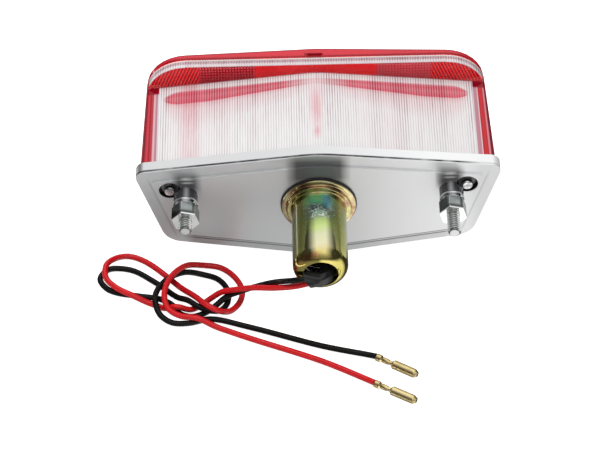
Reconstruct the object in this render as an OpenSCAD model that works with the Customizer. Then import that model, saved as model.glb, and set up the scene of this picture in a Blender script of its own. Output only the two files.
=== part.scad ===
// Motorcycle tail light lying on its top side: a cast alloy base with two studs and a bulb holder,
// a red lens moulding with a reeded clear window for the number plate, and two loose wires.
// X runs along the lamp, Y from the holder's mouth to the front of the lens, Z up from the table.

/* [Casting outline] */
// Half width of the casting at its shoulders, on the window side
shoulder_half = 63.8; // [62:0.1:70]
// Height of the shoulders above the table
shoulder_z = 43.8; // [41:0.1:46]
// Height of the roof's peak between the shoulders
roof_z = 51.0; // [49:0.1:54]
// Half width of the casting at its hips, on the table side
hip_half = 53.8; // [50:0.1:58]
// Height of the hips above the table
hip_z = 9.4; // [7:0.1:12]
// Radius at the shoulders
shoulder_r = 3.2; // [3:0.1:6]
// Radius along the roof's peak
roof_r = 50; // [20:1:80]
// Radius at the hips
hip_r = 8; // [6:0.5:12]
// Radius along the keel, where the casting meets the table
keel_r = 6; // [5:0.5:12]

/* [Casting] */
// Thickness of the back plate
plate_t = 3; // [2.5:0.1:4]
// Height of the rim and the seal's inner lip above the plate
rim_h = 2; // [1.8:0.1:3]
// Thickness of the rim outside the lens
rim_t = 1.2; // [1:0.1:1.6]
// Thickness of the lip inside the lens
lip_t = 1.2; // [1:0.1:1.6]
// Clearance between the lens wall and that lip
lip_gap = 0.3; // [0.2:0.1:0.5]
// Thickness of the raised panel on the back
pad_t = 0.8; // [0.5:0.1:1.5]
// Distance from the outline to the raised panel
pad_inset = 4.6; // [4:0.1:6]
// Radius of the panel's corners beyond the outline's own inset
pad_corner = 1.5; // [1:0.5:4]
// Radius of the hole for the bulb holder
holder_hole_r = 8.9; // [8.8:0.1:9.2]
// Radius of the raised ring round that hole, inside the lamp
collar_r = 12.5; // [11.5:0.1:14]
// Height of that ring
collar_h = 0.8; // [0.5:0.1:1.2]

/* [Studs and nuts] */
// Distance from the casting's shoulders to the mounting studs
stud_edge = 17.8; // [17:0.1:20]
// Height of the studs above the table
stud_z = 33.5; // [31:0.1:35]
// Radius of a stud's free end
stud_r = 2.25; // [2:0.05:2.5]
// How much smaller a stud is where its nut and washers sit
stud_relief = 0.05; // [0.03:0.01:0.08]
// Length of the left stud past its boss
stud_out_left = 12.4; // [11.5:0.1:20]
// Length of the right stud past its boss
stud_out_right = 15.9; // [11.5:0.1:20]
// Chamfer on a stud's free end
stud_chamfer = 0.5; // [0.3:0.1:0.8]
// Distance from the nut to the stud's full size
stud_start = 0.3; // [0.2:0.1:0.5]
// Radius of a stud's head inside the lamp
stud_head_r = 3.0; // [2.7:0.1:3.2]
// Height of a stud's head
stud_head_t = 1.6; // [1:0.1:2]
// Radius of the boss round each stud
boss_r = 4.2; // [3.8:0.1:5]
// Height of that boss over the back plate
boss_len = 5.5; // [3:0.1:7]
// Thickness of the flat washer
flat_t = 0.9; // [0.6:0.1:1.2]
// Radius of the flat washer
flat_r = 4.4; // [4:0.1:5]
// Thickness of the spring washer
spring_washer_t = 1.2; // [0.9:0.1:1.6]
// Radius of the spring washer
spring_washer_r = 3.8; // [3.5:0.1:4.2]
// Width of the spring washer's split
split_w = 0.9; // [0.5:0.1:1.4]
// Angle at which that split was left
split_turn = 40; // [0:5:355]
// Size of the nut across its flats
nut_af = 8.4; // [8:0.1:9]
// Height of the nut
nut_h = 5.8; // [3.5:0.1:6]
// How far the nut's corners are turned down, measured outwards from its flats
nut_chamfer = 0.8; // [0.7:0.1:1]
// Angle at which the nuts were left
nut_turn = 46; // [0:1:59]
// Radial clearance of nuts and washers on the studs
nut_gap = 0.05; // [0.03:0.01:0.06]

/* [Lens] */
// Clearance between the rim and the lens wall
rim_gap = 0.2; // [0.1:0.05:0.4]
// Thickness of the lens walls
lens_t = 2.2; // [1.8:0.1:2.4]
// Height of the window between the casting and its shelf
window_h = 37; // [32:0.5:42]
// Thickness of the clear shelf round the window's outer end
shelf_t = 3.7; // [3:0.1:4.5]
// Thickness of the red front at its ends
slab_t = 2.2; // [2:0.1:3]
// Extra thickness of the red front along its middle ridge
ridge_h = 2.5; // [1:0.1:4]
// How much narrower the lens front is than the casting, on each side
cap_draw = 3.8; // [3:0.1:5]
// Height of the lens front's upper edge above the table
cap_top = 52.9; // [52.6:0.1:56]
// Height at which the front's sides start to draw in
cap_waist_z = 32; // [28:0.5:36]
// Half width of the lens front at the table
cap_foot = 50.5; // [48:0.5:53]
// Radius of the front's upper corners
cap_top_r = 14; // [10:0.5:15]
// Radius of the front's lower corners
cap_foot_r = 9; // [6:0.5:12]
// Width of the red moulding's front beside the window
window_side = 4.5; // [3.5:0.1:5]
// Height above the table where the clear shelf's ends stop
shelf_end_z = 41.5; // [40.5:0.1:43]
// Width of the notch in the middle of the front's upper edge
notch_w = 5.6; // [3:0.1:8]
// Length of that notch from the clear shelf
notch_l = 2.2; // [1:0.1:3]
// Depth of that notch
notch_d = 0.6; // [0.3:0.1:1]
// Gap left for cement between the clear and the red moulding
cement = 0.05; // [0.02:0.01:0.1]
// Distance from the screw tubes to the window's lower edge
window_step = 0.3; // [0.2:0.1:0.6]
// Radius where the moulding's wall meets its roof
eave_r = 1.5; // [1:0.1:3]
// Radius of the bend in the moulding's sides
waist_r = 20; // [12:1:30]
// Width of one reed of the window
reed_pitch = 0.9; // [0.7:0.1:1.5]
// Depth of the reeds
reed_depth = 0.5; // [0.2:0.1:0.7]
// Height of the fine ribs along the shelf's upper edge
rib_out = 0.25; // [0.1:0.05:0.5]
// Width of one flute inside the red front
flute_pitch = 3; // [2:0.5:5]
// Depth of the flutes
flute_depth = 0.8; // [0.4:0.1:1]
// Distance from the flutes to the walls round them
flute_edge = 0.8; // [0.5:0.1:1.5]
// Thickness of the rubber seal under the lens
seal_t = 1.2; // [0.8:0.1:1.5]
// Clearance round the seal
seal_gap = 0.1; // [0.05:0.05:0.15]

/* [Lens screws] */
// Distance from the casting's shoulders to the lens screws
screw_edge = 12.4; // [11.4:0.1:14]
// Height of the lens screws above the table
screw_z = 35.8; // [33:0.1:36]
// Radius of a lens screw
screw_r = 2.0; // [1.8:0.05:2.2]
// Radial clearance of the screw in the casting
screw_gap = 0.05; // [0.03:0.01:0.08]
// Radius of the screw tube in the lens
tower_r = 4.7; // [4.5:0.1:5]
// Radial clearance of the screw in its tube
tower_gap = 0.35; // [0.3:0.05:0.5]
// Radius of the recess for the screw head
recess_r = 3.9; // [3.8:0.1:4.1]
// Depth from the front's edge to the floor of that recess
recess_d = 2.9; // [2.6:0.1:3.2]
// Radius of the screw head
head_r = 3.4; // [3.1:0.1:3.5]
// Height of the screw head
head_t = 2.1; // [1.6:0.1:2.4]
// Width of the screwdriver slot
slot_w = 1.0; // [0.8:0.1:1.4]
// Depth of that slot
slot_d = 1.0; // [0.6:0.1:1.3]
// Angle at which the slots were left
slot_turn = 25; // [0:5:85]
// Edge break on the head and on the screw's end
head_round = 0.4; // [0.2:0.1:0.6]
// Thickness of the sealing washer under the head
seal_washer_t = 0.8; // [0.5:0.1:1]
// How far that washer reaches past the head
seal_washer_out = 0.2; // [0.1:0.1:0.3]
// Radial clearance of that washer on the screw
seal_washer_gap = 0.1; // [0.05:0.05:0.2]
// Length of the screw's end past the back plate
screw_proud = 0.9; // [0.3:0.1:1.5]
// Radius of the counterbore at the screw's end
counterbore_r = 3.8; // [3.4:0.1:4.2]
// Depth of that counterbore under the raised panel
counterbore_d = 1.7; // [1.2:0.1:2]

/* [Bulb holder] */
// Height of the bulb holder's axis above the table
holder_z = 27.5; // [26:0.1:29]
// Distance from the back plate to the holder's mouth
holder_depth = 33.4; // [32:0.1:38]
// Radius of the holder shell
shell_r = 9.5; // [9.4:0.1:10]
// Thickness of the holder shell
shell_t = 0.7; // [0.6:0.05:0.75]
// Radius of the shell's turned-in end
dome_r = 4.4; // [3.5:0.1:4.6]
// Radius of the holder's mouth
mouth_r = 6.1; // [5.6:0.1:6.4]
// Radius of the holder's flange
flange_r = 13; // [12.6:0.1:14]
// Thickness of the flange
flange_t = 0.9; // [0.7:0.1:1.2]
// Radius of the step on the flange
step_r = 11.3; // [10.8:0.1:11.8]
// Height of that step
step_t = 1.5; // [1:0.1:2]
// Edge break on the step
step_round = 0.4; // [0.2:0.1:0.6]
// Thickness of the gasket under the flange
gasket_t = 0.7; // [0.5:0.1:1]
// Radius of the gasket
gasket_r = 13.3; // [13.1:0.1:14.5]
// Inner radius of the bayonet barrel
barrel_r = 7.7; // [7.65:0.01:7.75]
// Thickness of the bayonet barrel
barrel_t = 0.6; // [0.5:0.05:0.65]
// Radius of the barrel's flared end
flare_r = 10.5; // [10:0.1:12]
// Width of the hole left in the barrel's bottom, as a radius
barrel_hole_r = 6.1; // [6:0.1:6.4]
// Travel of the contact disc when the bulb is pushed in
push = 2; // [1:0.1:2.5]
// Angle that the bulb turns in its slots
twist = 20; // [15:1:25]
// Thickness of the contact disc
disc_t = 2.2; // [1.8:0.1:3]
// Radial clearance of the disc in the barrel
disc_gap = 0.09; // [0.05:0.01:0.1]
// Radius of a contact tip
tip_r = 1.7; // [1.4:0.1:1.9]
// Height of a contact tip over its disc
tip_h = 0.8; // [0.5:0.1:1.2]
// Distance of each contact tip from the axis
tip_x = 3.3; // [2.9:0.1:3.6]
// Radius of the spring, measured to the middle of its wire
spring_r = 6.7; // [6.6:0.05:6.8]
// Thickness of the spring's wire
spring_wire = 1.0; // [0.8:0.1:1.1]
// Number of the spring's turns
spring_turns = 5; // [4:1:6]
// Length of the space for the spring
spring_room = 12.7; // [11:0.1:13]
// Clearance at each end of the spring
seat_gap = 0.05; // [0.02:0.01:0.1]
// Radius of a contact's rivet through the disc
rivet_r = 1.0; // [0.8:0.1:1.2]
// Radial clearance of rivets and pins in their holes
rivet_gap = 0.02; // [0.01:0.01:0.05]
// Length of a rivet behind the disc
rivet_out = 0.4; // [0.2:0.1:0.5]
// Clearance round a bulb's pin in its slot
pin_gap = 0.2; // [0.1:0.05:0.3]

/* [Bulb] */
// Distance from the back plate to the front of the bulb's glass
bulb_tip = 40.8; // [38:0.1:41.5]
// Radius of the bulb's glass
glass_r = 12.5; // [11.5:0.1:13]
// Thickness of the glass
glass_t = 0.8; // [0.6:0.1:1]
// Radius of the glass neck
neck_r = 6.6; // [6.2:0.1:6.9]
// Radius of the bulb's cap
cap_r = 7.45; // [7.4:0.01:7.5]
// Distance from the front of the cap to the back plate
cap_front = 4.2; // [3.5:0.1:5]
// Length of the bulb's cap
cap_len = 15.4; // [15:0.1:17]
// Radius of a bayonet pin
pin_r = 1.0; // [0.9:0.05:1.1]
// Distance from the axis to a pin's outer end
pin_reach = 8.4; // [8.35:0.01:8.45]
// Distance from the front of the cap to the first pin
pin_a = 6.4; // [6:0.1:7]
// Distance from the front of the cap to the second pin
pin_b = 9.6; // [9:0.1:10]
// Thickness of the cap's wall
cap_t = 0.5; // [0.4:0.05:0.6]
// Thickness of the cap's insulated floor
cap_floor = 1.4; // [1:0.1:2]
// Edge break round the cap's floor
cap_round = 0.6; // [0.4:0.1:1]
// Distance of the glass's foot from that floor
glass_in = 5; // [3:0.1:7]
// Radius of a contact on the cap's floor
lead_r = 1.6; // [1.4:0.1:1.8]
// Height of that contact
contact_out = 1.0; // [0.8:0.1:1.2]
// Gap between the bulb's contacts and the sprung tips
contact_gap = 0.1; // [0.05:0.01:0.15]
// Distance from the front of the cap to the filaments
filament_d = 22; // [20:0.5:26]
// Radius of the glass stem inside the bulb
stem_r = 2.4; // [2:0.1:3]
// Distance from the front of the cap to the end of that stem
stem_out = 8; // [6:0.5:10]
// Thickness of a filament's fine coil
filament_w = 0.5; // [0.4:0.1:0.6]
// Thickness of the wires that carry the filaments
support_d = 0.7; // [0.5:0.1:0.9]
// Distance of the supports' ends from the bulb's axis
support_x = 3.2; // [3:0.1:4]
// Distance between the two filaments
filament_step = 3; // [2.5:0.1:4]

/* [Wires] */
// Diameter of each wire over its insulation
wire_d = 1.8; // [1.8:0.1:1.9]
// Radius of the black sleeve at the holder's mouth
sleeve_r = 2.8; // [2.7:0.05:2.9]
// Sideways shift of the sleeve from the holder's axis
sleeve_x = 2.4; // [2:0.1:2.5]
// Drop of the sleeve from the holder's axis
sleeve_drop = 1.6; // [1.3:0.1:1.7]
// Clearance behind the sprung contact when it is pushed in
sleeve_back = 0.5; // [0.45:0.05:1]
// Distance inside the mouth where the sleeve starts to bend
sleeve_in = 3.6; // [3.4:0.1:3.8]
// Radius of the sleeve's bend, measured to its middle
sleeve_bend = 4.5; // [4.2:0.1:5]
// Length of the sleeve past its bend
sleeve_straight = 0.9; // [0.5:0.1:2]
// Radius of a bullet terminal
bullet_r = 1.6; // [1.5:0.05:1.7]
// Length of a bullet's barrel
bullet_len = 8.4; // [7:0.1:10]
// Length of a bullet's crimped part
crimp_len = 5; // [4:0.1:6]
// Radius of the claws round the insulation
claw_r = 1.3; // [1.2:0.05:1.4]
// Length of those claws
claw_len = 2.2; // [1.8:0.1:2.6]
// Radius of the crimp on the conductor
crimp_r = 1.0; // [0.8:0.05:1.1]
// Radius of the neck between crimp and barrel
neck_w = 0.75; // [0.6:0.05:0.9]
// Length of that neck
neck_len = 1.0; // [0.6:0.1:1.5]
// Length of each slope between the parts of a bullet
bullet_slope = 0.3; // [0.2:0.1:0.5]
// Radius of the end of the barrel's nose
nose_r = 0.95; // [0.7:0.05:1.2]
// Length of the barrel's tapered nose
nose_len = 1.0; // [0.6:0.1:1.5]
// Angle of the red wire's bullet on the table
bullet_turn_red = -30; // [-40:1:-20]
// Angle of the black wire's bullet on the table
bullet_turn_black = -31; // [-40:1:-20]

/* [Hidden] */
arc_steps = 8;
eps = 0.01;
over = 1;
far = 200;
fine = 48;
coarse = 24;
least_r = 0.8;
ridge_depth = plate_t + rim_h + window_h + shelf_t + slab_t + ridge_h;
plate_y = (holder_depth - ridge_depth) / 2;
plate_front_y = plate_y + plate_t;
lens_inset = rim_t + rim_gap;
lip_inset = lens_inset + lens_t + lip_gap;
cap_half = shoulder_half - cap_draw;
window_half = cap_half - window_side;
screw_x = shoulder_half - screw_edge;
stud_x = shoulder_half - stud_edge;
rim_y = plate_front_y + rim_h;
lens_y = plate_front_y + seal_t;
shelf_y = rim_y + window_h;
slab_y = shelf_y + shelf_t;
edge_y = slab_y + slab_t;
ridge_y = edge_y + ridge_h;
pad_y = plate_y - pad_t;
boss_y = plate_y - boss_len;
flange_y = pad_y - gasket_t;
mouth_y = plate_y - holder_depth;
roof_angle = atan((roof_z - shoulder_z) / shoulder_half);
keel_angle = atan(hip_z / hip_half);
keel_z = -keel_r * (1 / cos(keel_angle) - 1);
barrel_y = plate_front_y + collar_h;
cap_y = plate_y + cap_front;
cap_end_y = cap_y - cap_len;
tip_y = cap_end_y - contact_out - contact_gap;
disc_y = tip_y - tip_h;
disc_end_y = disc_y - disc_t;
barrel_end_y = disc_end_y - spring_room;
flat_y = boss_y - flat_t;
split_y = flat_y - spring_washer_t;
nut_y = split_y - nut_h;
barrel_at = crimp_len + neck_len + 2 * bullet_slope;
seat_y = edge_y - recess_d;
head_y = seat_y + seal_washer_t;
sleeve_z = holder_z - sleeve_drop;
sleeve_turn_y = mouth_y + sleeve_in;

// The wires' routes, starting in the end of the sleeve and lying on the table in a loose knot
red_route = [[-3, -43.4, 24.6], [-8.5, -42.4, 22.2], [-16, -38.5, 17], [-23.5, -33.6, 11.5], [-30, -31, 7],
    [-34.5, -30, 4.8], [-38.5, -30.5, 2.4], [-42, -32.3, 1.1], [-45.6, -34.3, 1.3], [-50.3, -34.6, 3.1],
    [-54.6, -33.2, 1.1], [-60, -30.6, 0.95], [-66, -28.5, 2.7], [-72, -24.8, 3], [-75.5, -20, 2.8],
    [-75.5, -14.5, 3], [-72.5, -10, 1.6], [-68, -8.5, 0.95], [-61.5, -11.5, 0.95], [-49.5, -23.5, 1],
    [-44, -30.5, 3.6], [-40, -35.8, 5.1], [-36.3, -37.4, 4], [-32, -35.5, 1.3], [-28.6, -31.5, 0.95],
    [-27.5, -26, 0.95], [-29.8, -20, 0.95], [-35, -15, 0.95], [-41.5, -14.2, 1.6], [-47.5, -17.6, 4.8],
    [-52.5, -23, 5.1], [-54.6, -29.5, 4.3], [-53.3, -35.5, 3.4], [-49, -38.6, 2.9], [-43, -39.9, 3],
    [-36.5, -42.2, 1.1], [-25, -47.5, 0.95], [0, -58.5, 0.95], [15, -67.2, 1.3], [17.5, -69, 1.65]];
black_route = [[-3, -43.4, 27.1], [-8.5, -43, 26], [-16, -36.2, 17.3], [-23, -31.5, 9], [-28, -30.3, 5.2],
    [-33, -30.6, 3.1], [-37.5, -33.4, 1.2], [-41.3, -36.1, 0.95], [-45.4, -37.2, 0.95], [-49.5, -35.5, 0.95],
    [-51.8, -31.8, 0.95], [-56.5, -28.8, 0.95], [-64, -27.2, 0.95], [-71.5, -25.5, 0.95],
    [-75.2, -23.4, 0.95], [-77.7, -18.9, 0.95], [-74.9, -14.6, 0.95], [-67, -15, 0.95], [-58.5, -20.8, 0.95],
    [-50.5, -28.5, 1.5], [-46.4, -32.1, 3.4], [-42.2, -35.2, 3.2], [-38, -36.4, 2.6], [-34.8, -34.8, 1.3],
    [-32.6, -30.8, 0.95], [-32.8, -25, 0.95], [-36, -20.3, 0.95], [-41.5, -18, 1.1], [-47.5, -18.5, 2.8],
    [-53, -21.3, 3.2], [-56.7, -25.8, 3.2], [-57.9, -31, 3.3], [-56.3, -36.5, 1.8], [-52, -39.7, 0.95],
    [-46, -40.1, 0.95], [-38.5, -38.5, 0.95], [-25, -42.5, 0.95], [0, -51.7, 0.95], [15.5, -56.3, 1.3],
    [18.5, -57.5, 1.65]];

// Outlines are lists of [x, z] corners, walked anticlockwise seen from the lens side

function unit(v) = v / norm(v);

// Points of the arc that rounds corner b between a and c
function corner_arc(a, b, c, r) =
    let (u = unit(a - b), w = unit(c - b), half = acos(u * w) / 2,
        centre = b + unit(u + w) * r / sin(half), first = b + u * r / tan(half) - centre,
        last = b + w * r / tan(half) - centre, start = atan2(first.y, first.x),
        sweep = (atan2(last.y, last.x) - start + 540) % 360 - 180)
    [for (i = [0:arc_steps]) centre + r * [cos(start + sweep * i / arc_steps),
        sin(start + sweep * i / arc_steps)]];

// Corners moved inwards by d, each along its own bisector
function moved_in(corners, d) =
    let (n = len(corners))
    [for (i = [0:n - 1])
        let (b = corners[i], u = unit(corners[(i + n - 1) % n] - b), w = unit(corners[(i + 1) % n] - b))
        b + unit(u + w) * d / sin(acos(u * w) / 2)];

function rounded(corners, radii) =
    let (n = len(corners))
    [for (i = [0:n - 1]) each corner_arc(corners[(i + n - 1) % n], corners[i],
        corners[(i + 1) % n], radii[i])];

base_corners = [[shoulder_half, shoulder_z], [0, roof_z], [-shoulder_half, shoulder_z],
    [-hip_half, hip_z], [0, keel_z], [hip_half, hip_z]];
base_radii = [shoulder_r, roof_r, shoulder_r, hip_r, keel_r, hip_r];

// The casting's outline, moved in by d
function base_outline(d) = rounded(moved_in(base_corners, d), [for (r = base_radii) max(r - d, least_r)]);

cap_corners = [[cap_half, cap_top], [-cap_half, cap_top], [-cap_half, cap_waist_z], [-cap_foot, 0],
    [cap_foot, 0], [cap_half, cap_waist_z]];
cap_radii = [cap_top_r, cap_top_r, waist_r, cap_foot_r, cap_foot_r, waist_r];

// The lens front's outline, moved in by d
function cap_outline(d) = rounded(moved_in(cap_corners, d), [for (r = cap_radii) max(r - d, least_r)]);

// Height of the roof at x, moved in by d: two slopes with an arc between them
function roof_at(x, d) = let (r = roof_r - d)
    abs(x) > r * sin(roof_angle) ? roof_z - d / cos(roof_angle) - abs(x) * tan(roof_angle)
        : roof_z - roof_r / cos(roof_angle) + sqrt(r * r - x * x);

// An [x, z] outline as a solid from y0 to y1
module plate(y0, y1) {
    translate([0, y1, 0]) rotate([90, 0, 0]) linear_extrude(y1 - y0) children();
}

// A round bar along Y
module bar(r, y0, y1, x, z) {
    translate([x, y1, z]) rotate([90, 0, 0]) cylinder(r = r, h = y1 - y0, $fn = fine);
}

// A turned solid about an axis along Y, from [radius, y] points
module turned(points, x = 0, z = holder_z) {
    translate([x, 0, z]) rotate([-90, 0, 0]) rotate_extrude($fn = fine) polygon(points);
}

// A straight round rod from a to b
module rod(a, b, d) {
    v = b - a;
    translate(a) rotate([0, acos(v.z / norm(v)), atan2(v.y, v.x)])
        cylinder(d = d, h = norm(v), $fn = coarse);
}

// Direction of a route at its point i, with its two ends given
function heading(route, i, first, last) =
    i == 0 ? first : i == len(route) - 1 ? last
        : unit(unit(route[i] - route[i - 1]) + unit(route[i + 1] - route[i]));

// One ring of a tube, square to its heading
function ring_points(centre, along, up, r, sides) =
    let (across = unit(cross(along, up)), square = cross(across, along))
    [for (k = [0:sides - 1]) let (a = 360 * k / sides) centre + r * (across * cos(a) + square * sin(a))];

// A tube of one unbroken skin, swept along a route
module tube(route, r, sides, up, first, last) {
    rings = len(route);
    polyhedron(
        points = [for (i = [0:rings - 1])
            each ring_points(route[i], heading(route, i, first, last), up, r, sides)],
        faces = concat(
            [for (i = [0:rings - 2], k = [0:sides - 1])
                let (a = i * sides + k, b = i * sides + (k + 1) % sides)
                each [[a, a + sides, b], [b, a + sides, b + sides]]],
            [for (k = [1:sides - 2]) [0, k, k + 1]],
            [for (k = [1:sides - 2]) let (a = (rings - 1) * sides) [a, a + k + 1, a + k]]));
}

// The casting

module base_casting() color("lightgray") difference() {
    union() {
        plate(plate_y, plate_front_y) polygon(base_outline(0));
        plate(plate_front_y - eps, rim_y) difference() {
            polygon(base_outline(0));
            polygon(base_outline(rim_t));
        }
        plate(plate_front_y - eps, rim_y) difference() {
            polygon(base_outline(lip_inset));
            polygon(base_outline(lip_inset + lip_t));
        }
        plate(pad_y, plate_y + eps)
            polygon(rounded(moved_in(base_corners, pad_inset),
                [for (r = base_radii) max(r - pad_inset, pad_corner)]));
        bar(collar_r, plate_front_y - eps, plate_front_y + collar_h, 0, holder_z);
        for (side = [-1, 1]) {
            bar(boss_r, boss_y, plate_y + eps, side * stud_x, stud_z);
            bar(tower_r, plate_front_y - eps, rim_y, side * screw_x, screw_z);
        }
    }
    bar(holder_hole_r, pad_y - over, rim_y + over, 0, holder_z);
    for (side = [-1, 1]) {
        bar(stud_r, boss_y - over, rim_y, side * stud_x, stud_z);
        bar(stud_head_r + nut_gap, plate_front_y, rim_y + over, side * stud_x, stud_z);
        bar(screw_r + screw_gap, pad_y - over, rim_y + over, side * screw_x, screw_z);
        bar(counterbore_r, pad_y - over, pad_y + counterbore_d, side * screw_x, screw_z);
    }
}

module lens_seal() color("dimgray") plate(plate_front_y, lens_y) difference() {
    polygon(base_outline(rim_t + seal_gap));
    polygon(base_outline(lip_inset - seal_gap));
}

// Studs, washers and nuts

module stud(side, out) color("silver") turned([
    [0, boss_y - out], [stud_r - stud_chamfer, boss_y - out], [stud_r, boss_y - out + stud_chamfer],
    [stud_r, nut_y - stud_start], [stud_r - stud_relief, nut_y - stud_start],
    [stud_r - stud_relief, plate_front_y], [stud_head_r, plate_front_y],
    [stud_head_r, plate_front_y + stud_head_t], [0, plate_front_y + stud_head_t],
], side * stud_x, stud_z);

module ring(outer, y0, y1, x) {
    difference() {
        bar(outer, y0, y1, x, stud_z);
        bar(stud_r + nut_gap, y0 - over, y1 + over, x, stud_z);
    }
}

module flat_washer(side) color("silver") ring(flat_r, flat_y, boss_y, side * stud_x);

module spring_washer(side) color("gray") difference() {
    ring(spring_washer_r, split_y, flat_y, side * stud_x);
    translate([side * stud_x, split_y - over, stud_z]) rotate([0, split_turn, 0])
        translate([-split_w / 2, 0, 0]) cube([split_w, spring_washer_t + 2 * over, spring_washer_r + over]);
}

module nut(side) color("silver") translate([side * stud_x, split_y, stud_z]) rotate([90, 0, 0]) {
    corner = nut_af / 2 + nut_chamfer;
    difference() {
        intersection() {
            rotate([0, 0, nut_turn]) cylinder(d = nut_af / cos(30), h = nut_h, $fn = 6);
            rotate_extrude($fn = fine) polygon([[0, 0], [nut_af / 2, 0], [corner, nut_chamfer / 2],
                [corner, nut_h - nut_chamfer / 2], [nut_af / 2, nut_h], [0, nut_h]]);
        }
        translate([0, 0, -over]) cylinder(r = stud_r + nut_gap, h = nut_h + 2 * over, $fn = fine);
    }
}

module mounting_stud_left() stud(-1, stud_out_left);
module mounting_stud_right() stud(1, stud_out_right);
module flat_washer_left() flat_washer(-1);
module flat_washer_right() flat_washer(1);
module spring_washer_left() spring_washer(-1);
module spring_washer_right() spring_washer(1);
module mounting_nut_left() nut(-1);
module mounting_nut_right() nut(1);

// Corners of the moulding where its wall meets the front: a straight foot, and the roof of the casting
front_corners = [[cap_half, roof_at(cap_half, lens_inset)], [0, roof_at(0, lens_inset)],
    [-cap_half, roof_at(cap_half, lens_inset)], [-cap_half, cap_waist_z], [-cap_foot, 0],
    [cap_foot, 0], [cap_half, cap_waist_z]];
front_radii = [eave_r, roof_r, eave_r, waist_r, cap_foot_r, cap_foot_r, waist_r];

// The moulding's outside, or its inside when moved in by d, from its foot at y0 to its front at y1
module lens_body(d, y0, y1) {
    hull() {
        plate(y0, y0 + eps) polygon(base_outline(lens_inset + d));
        plate(y1 - eps, y1)
            polygon(rounded(moved_in(front_corners, d), [for (r = front_radii) max(r - d, least_r)]));
    }
}

flutes = floor(2 * (screw_x - tower_r - flute_edge) / flute_pitch);
flute_half = flutes * flute_pitch / 2;
flute_foot = lens_t + flute_edge;
flute_top = roof_at(flute_half, lens_inset + lens_t) - flute_edge;

module red_lens() color("red") difference() {
    union() {
        difference() {
            lens_body(0, lens_y, slab_y + eps);
            lens_body(lens_t, lens_y - over, slab_y);
        }
        intersection() {
            plate(slab_y, ridge_y) polygon(cap_outline(0));
            translate([0, 0, -over]) linear_extrude(cap_top + 2 * over)
                polygon([[-cap_half, slab_y], [cap_half, slab_y], [cap_half, edge_y], [0, ridge_y],
                    [-cap_half, edge_y]]);
        }
        for (side = [-1, 1])
            bar(tower_r, rim_y + cement, slab_y + eps, side * screw_x, screw_z);
        translate([0, 0, flute_foot]) linear_extrude(flute_top - flute_foot) polygon(concat(
            [[-flute_half, slab_y + eps]],
            [for (i = [0:2 * flutes])
                [-flute_half + i * flute_pitch / 2, slab_y - (i % 2) * flute_depth]],
            [[flute_half, slab_y + eps]]));
    }
    translate([-window_half, lens_y - over, screw_z + tower_r + window_step])
        cube([2 * window_half, slab_y - lens_y + over, far]);
    translate([-far, shelf_y, shelf_end_z]) cube([2 * far, shelf_t, far]);
    translate([-notch_w / 2, slab_y - over, cap_top - notch_d]) cube([notch_w, notch_l + over, far]);
    for (side = [-1, 1]) {
        bar(screw_r + tower_gap, lens_y - over, ridge_y, side * screw_x, screw_z);
        bar(recess_r, seat_y, ridge_y + over, side * screw_x, screw_z);
    }
}

reeds = floor(2 * (window_half - lens_t) / reed_pitch);
reed_half = reeds * reed_pitch / 2;
ribs = floor(2 * (cap_half - cap_top_r) / reed_pitch) - 2;
rib_half = ribs * reed_pitch / 2;

module clear_window() color([0.92, 0.94, 0.96, 0.5]) {
    plate(lens_y, slab_y - cement) intersection() {
        difference() {
            polygon(base_outline(lens_inset));
            polygon(base_outline(lens_inset + lens_t - reed_depth));
        }
        translate([-window_half + cement, screw_z + tower_r + window_step + cement])
            square([2 * (window_half - cement), far]);
    }
    plate(shelf_y + cement, slab_y - cement) difference() {
        intersection() {
            union() {
                polygon(cap_outline(0));
                polygon([
                    for (i = [0:2 * ribs]) [-rib_half + i * reed_pitch / 2, cap_top + (i % 2) * rib_out],
                    [rib_half, cap_top - over], [-rib_half, cap_top - over]]);
            }
            translate([-far, shelf_end_z + cement]) square([2 * far, far]);
        }
        polygon(base_outline(lens_inset + lens_t));
    }
    plate(lens_y, shelf_y + 2 * cement) polygon(concat(
        [for (i = [0:reeds]) let (x = -reed_half + i * reed_pitch)
            [x, roof_at(x, lens_inset + lens_t - reed_depth - 2 * cement)]],
        [for (i = [0:2 * reeds]) let (x = reed_half - i * reed_pitch / 2)
            [x, roof_at(x, lens_inset + lens_t - (i % 2 == 0 ? reed_depth - cement : cement))]]));
}

module lens_screw(side) color("silver") difference() {
    turned([[0, pad_y - screw_proud], [screw_r - head_round, pad_y - screw_proud],
        [screw_r, pad_y - screw_proud + head_round], [screw_r, head_y], [head_r, head_y],
        [head_r, head_y + head_t - head_round], [head_r - 2 * head_round, head_y + head_t],
        [0, head_y + head_t],
    ], side * screw_x, screw_z);
    translate([side * screw_x, head_y + head_t - slot_d, screw_z]) rotate([0, side * slot_turn, 0])
        translate([-head_r - over, 0, -slot_w / 2]) cube([2 * (head_r + over), slot_d + over, slot_w]);
}

module lens_screw_left() lens_screw(-1);
module lens_screw_right() lens_screw(1);

module screw_washer(side) color("black") difference() {
    bar(head_r + seal_washer_out, seat_y, head_y, side * screw_x, screw_z);
    bar(screw_r + seal_washer_gap, seat_y - over, head_y + over, side * screw_x, screw_z);
}

module screw_washer_left() screw_washer(-1);
module screw_washer_right() screw_washer(1);

// The bulb holder

module holder_gasket() color("black") difference() {
    bar(gasket_r, flange_y, pad_y, 0, holder_z);
    bar(holder_hole_r, flange_y - over, pad_y + over, 0, holder_z);
}

dome_y = mouth_y + sqrt(pow(dome_r, 2) - pow(mouth_r - shell_r + dome_r, 2));
step_y = flange_y - flange_t - step_t;

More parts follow.
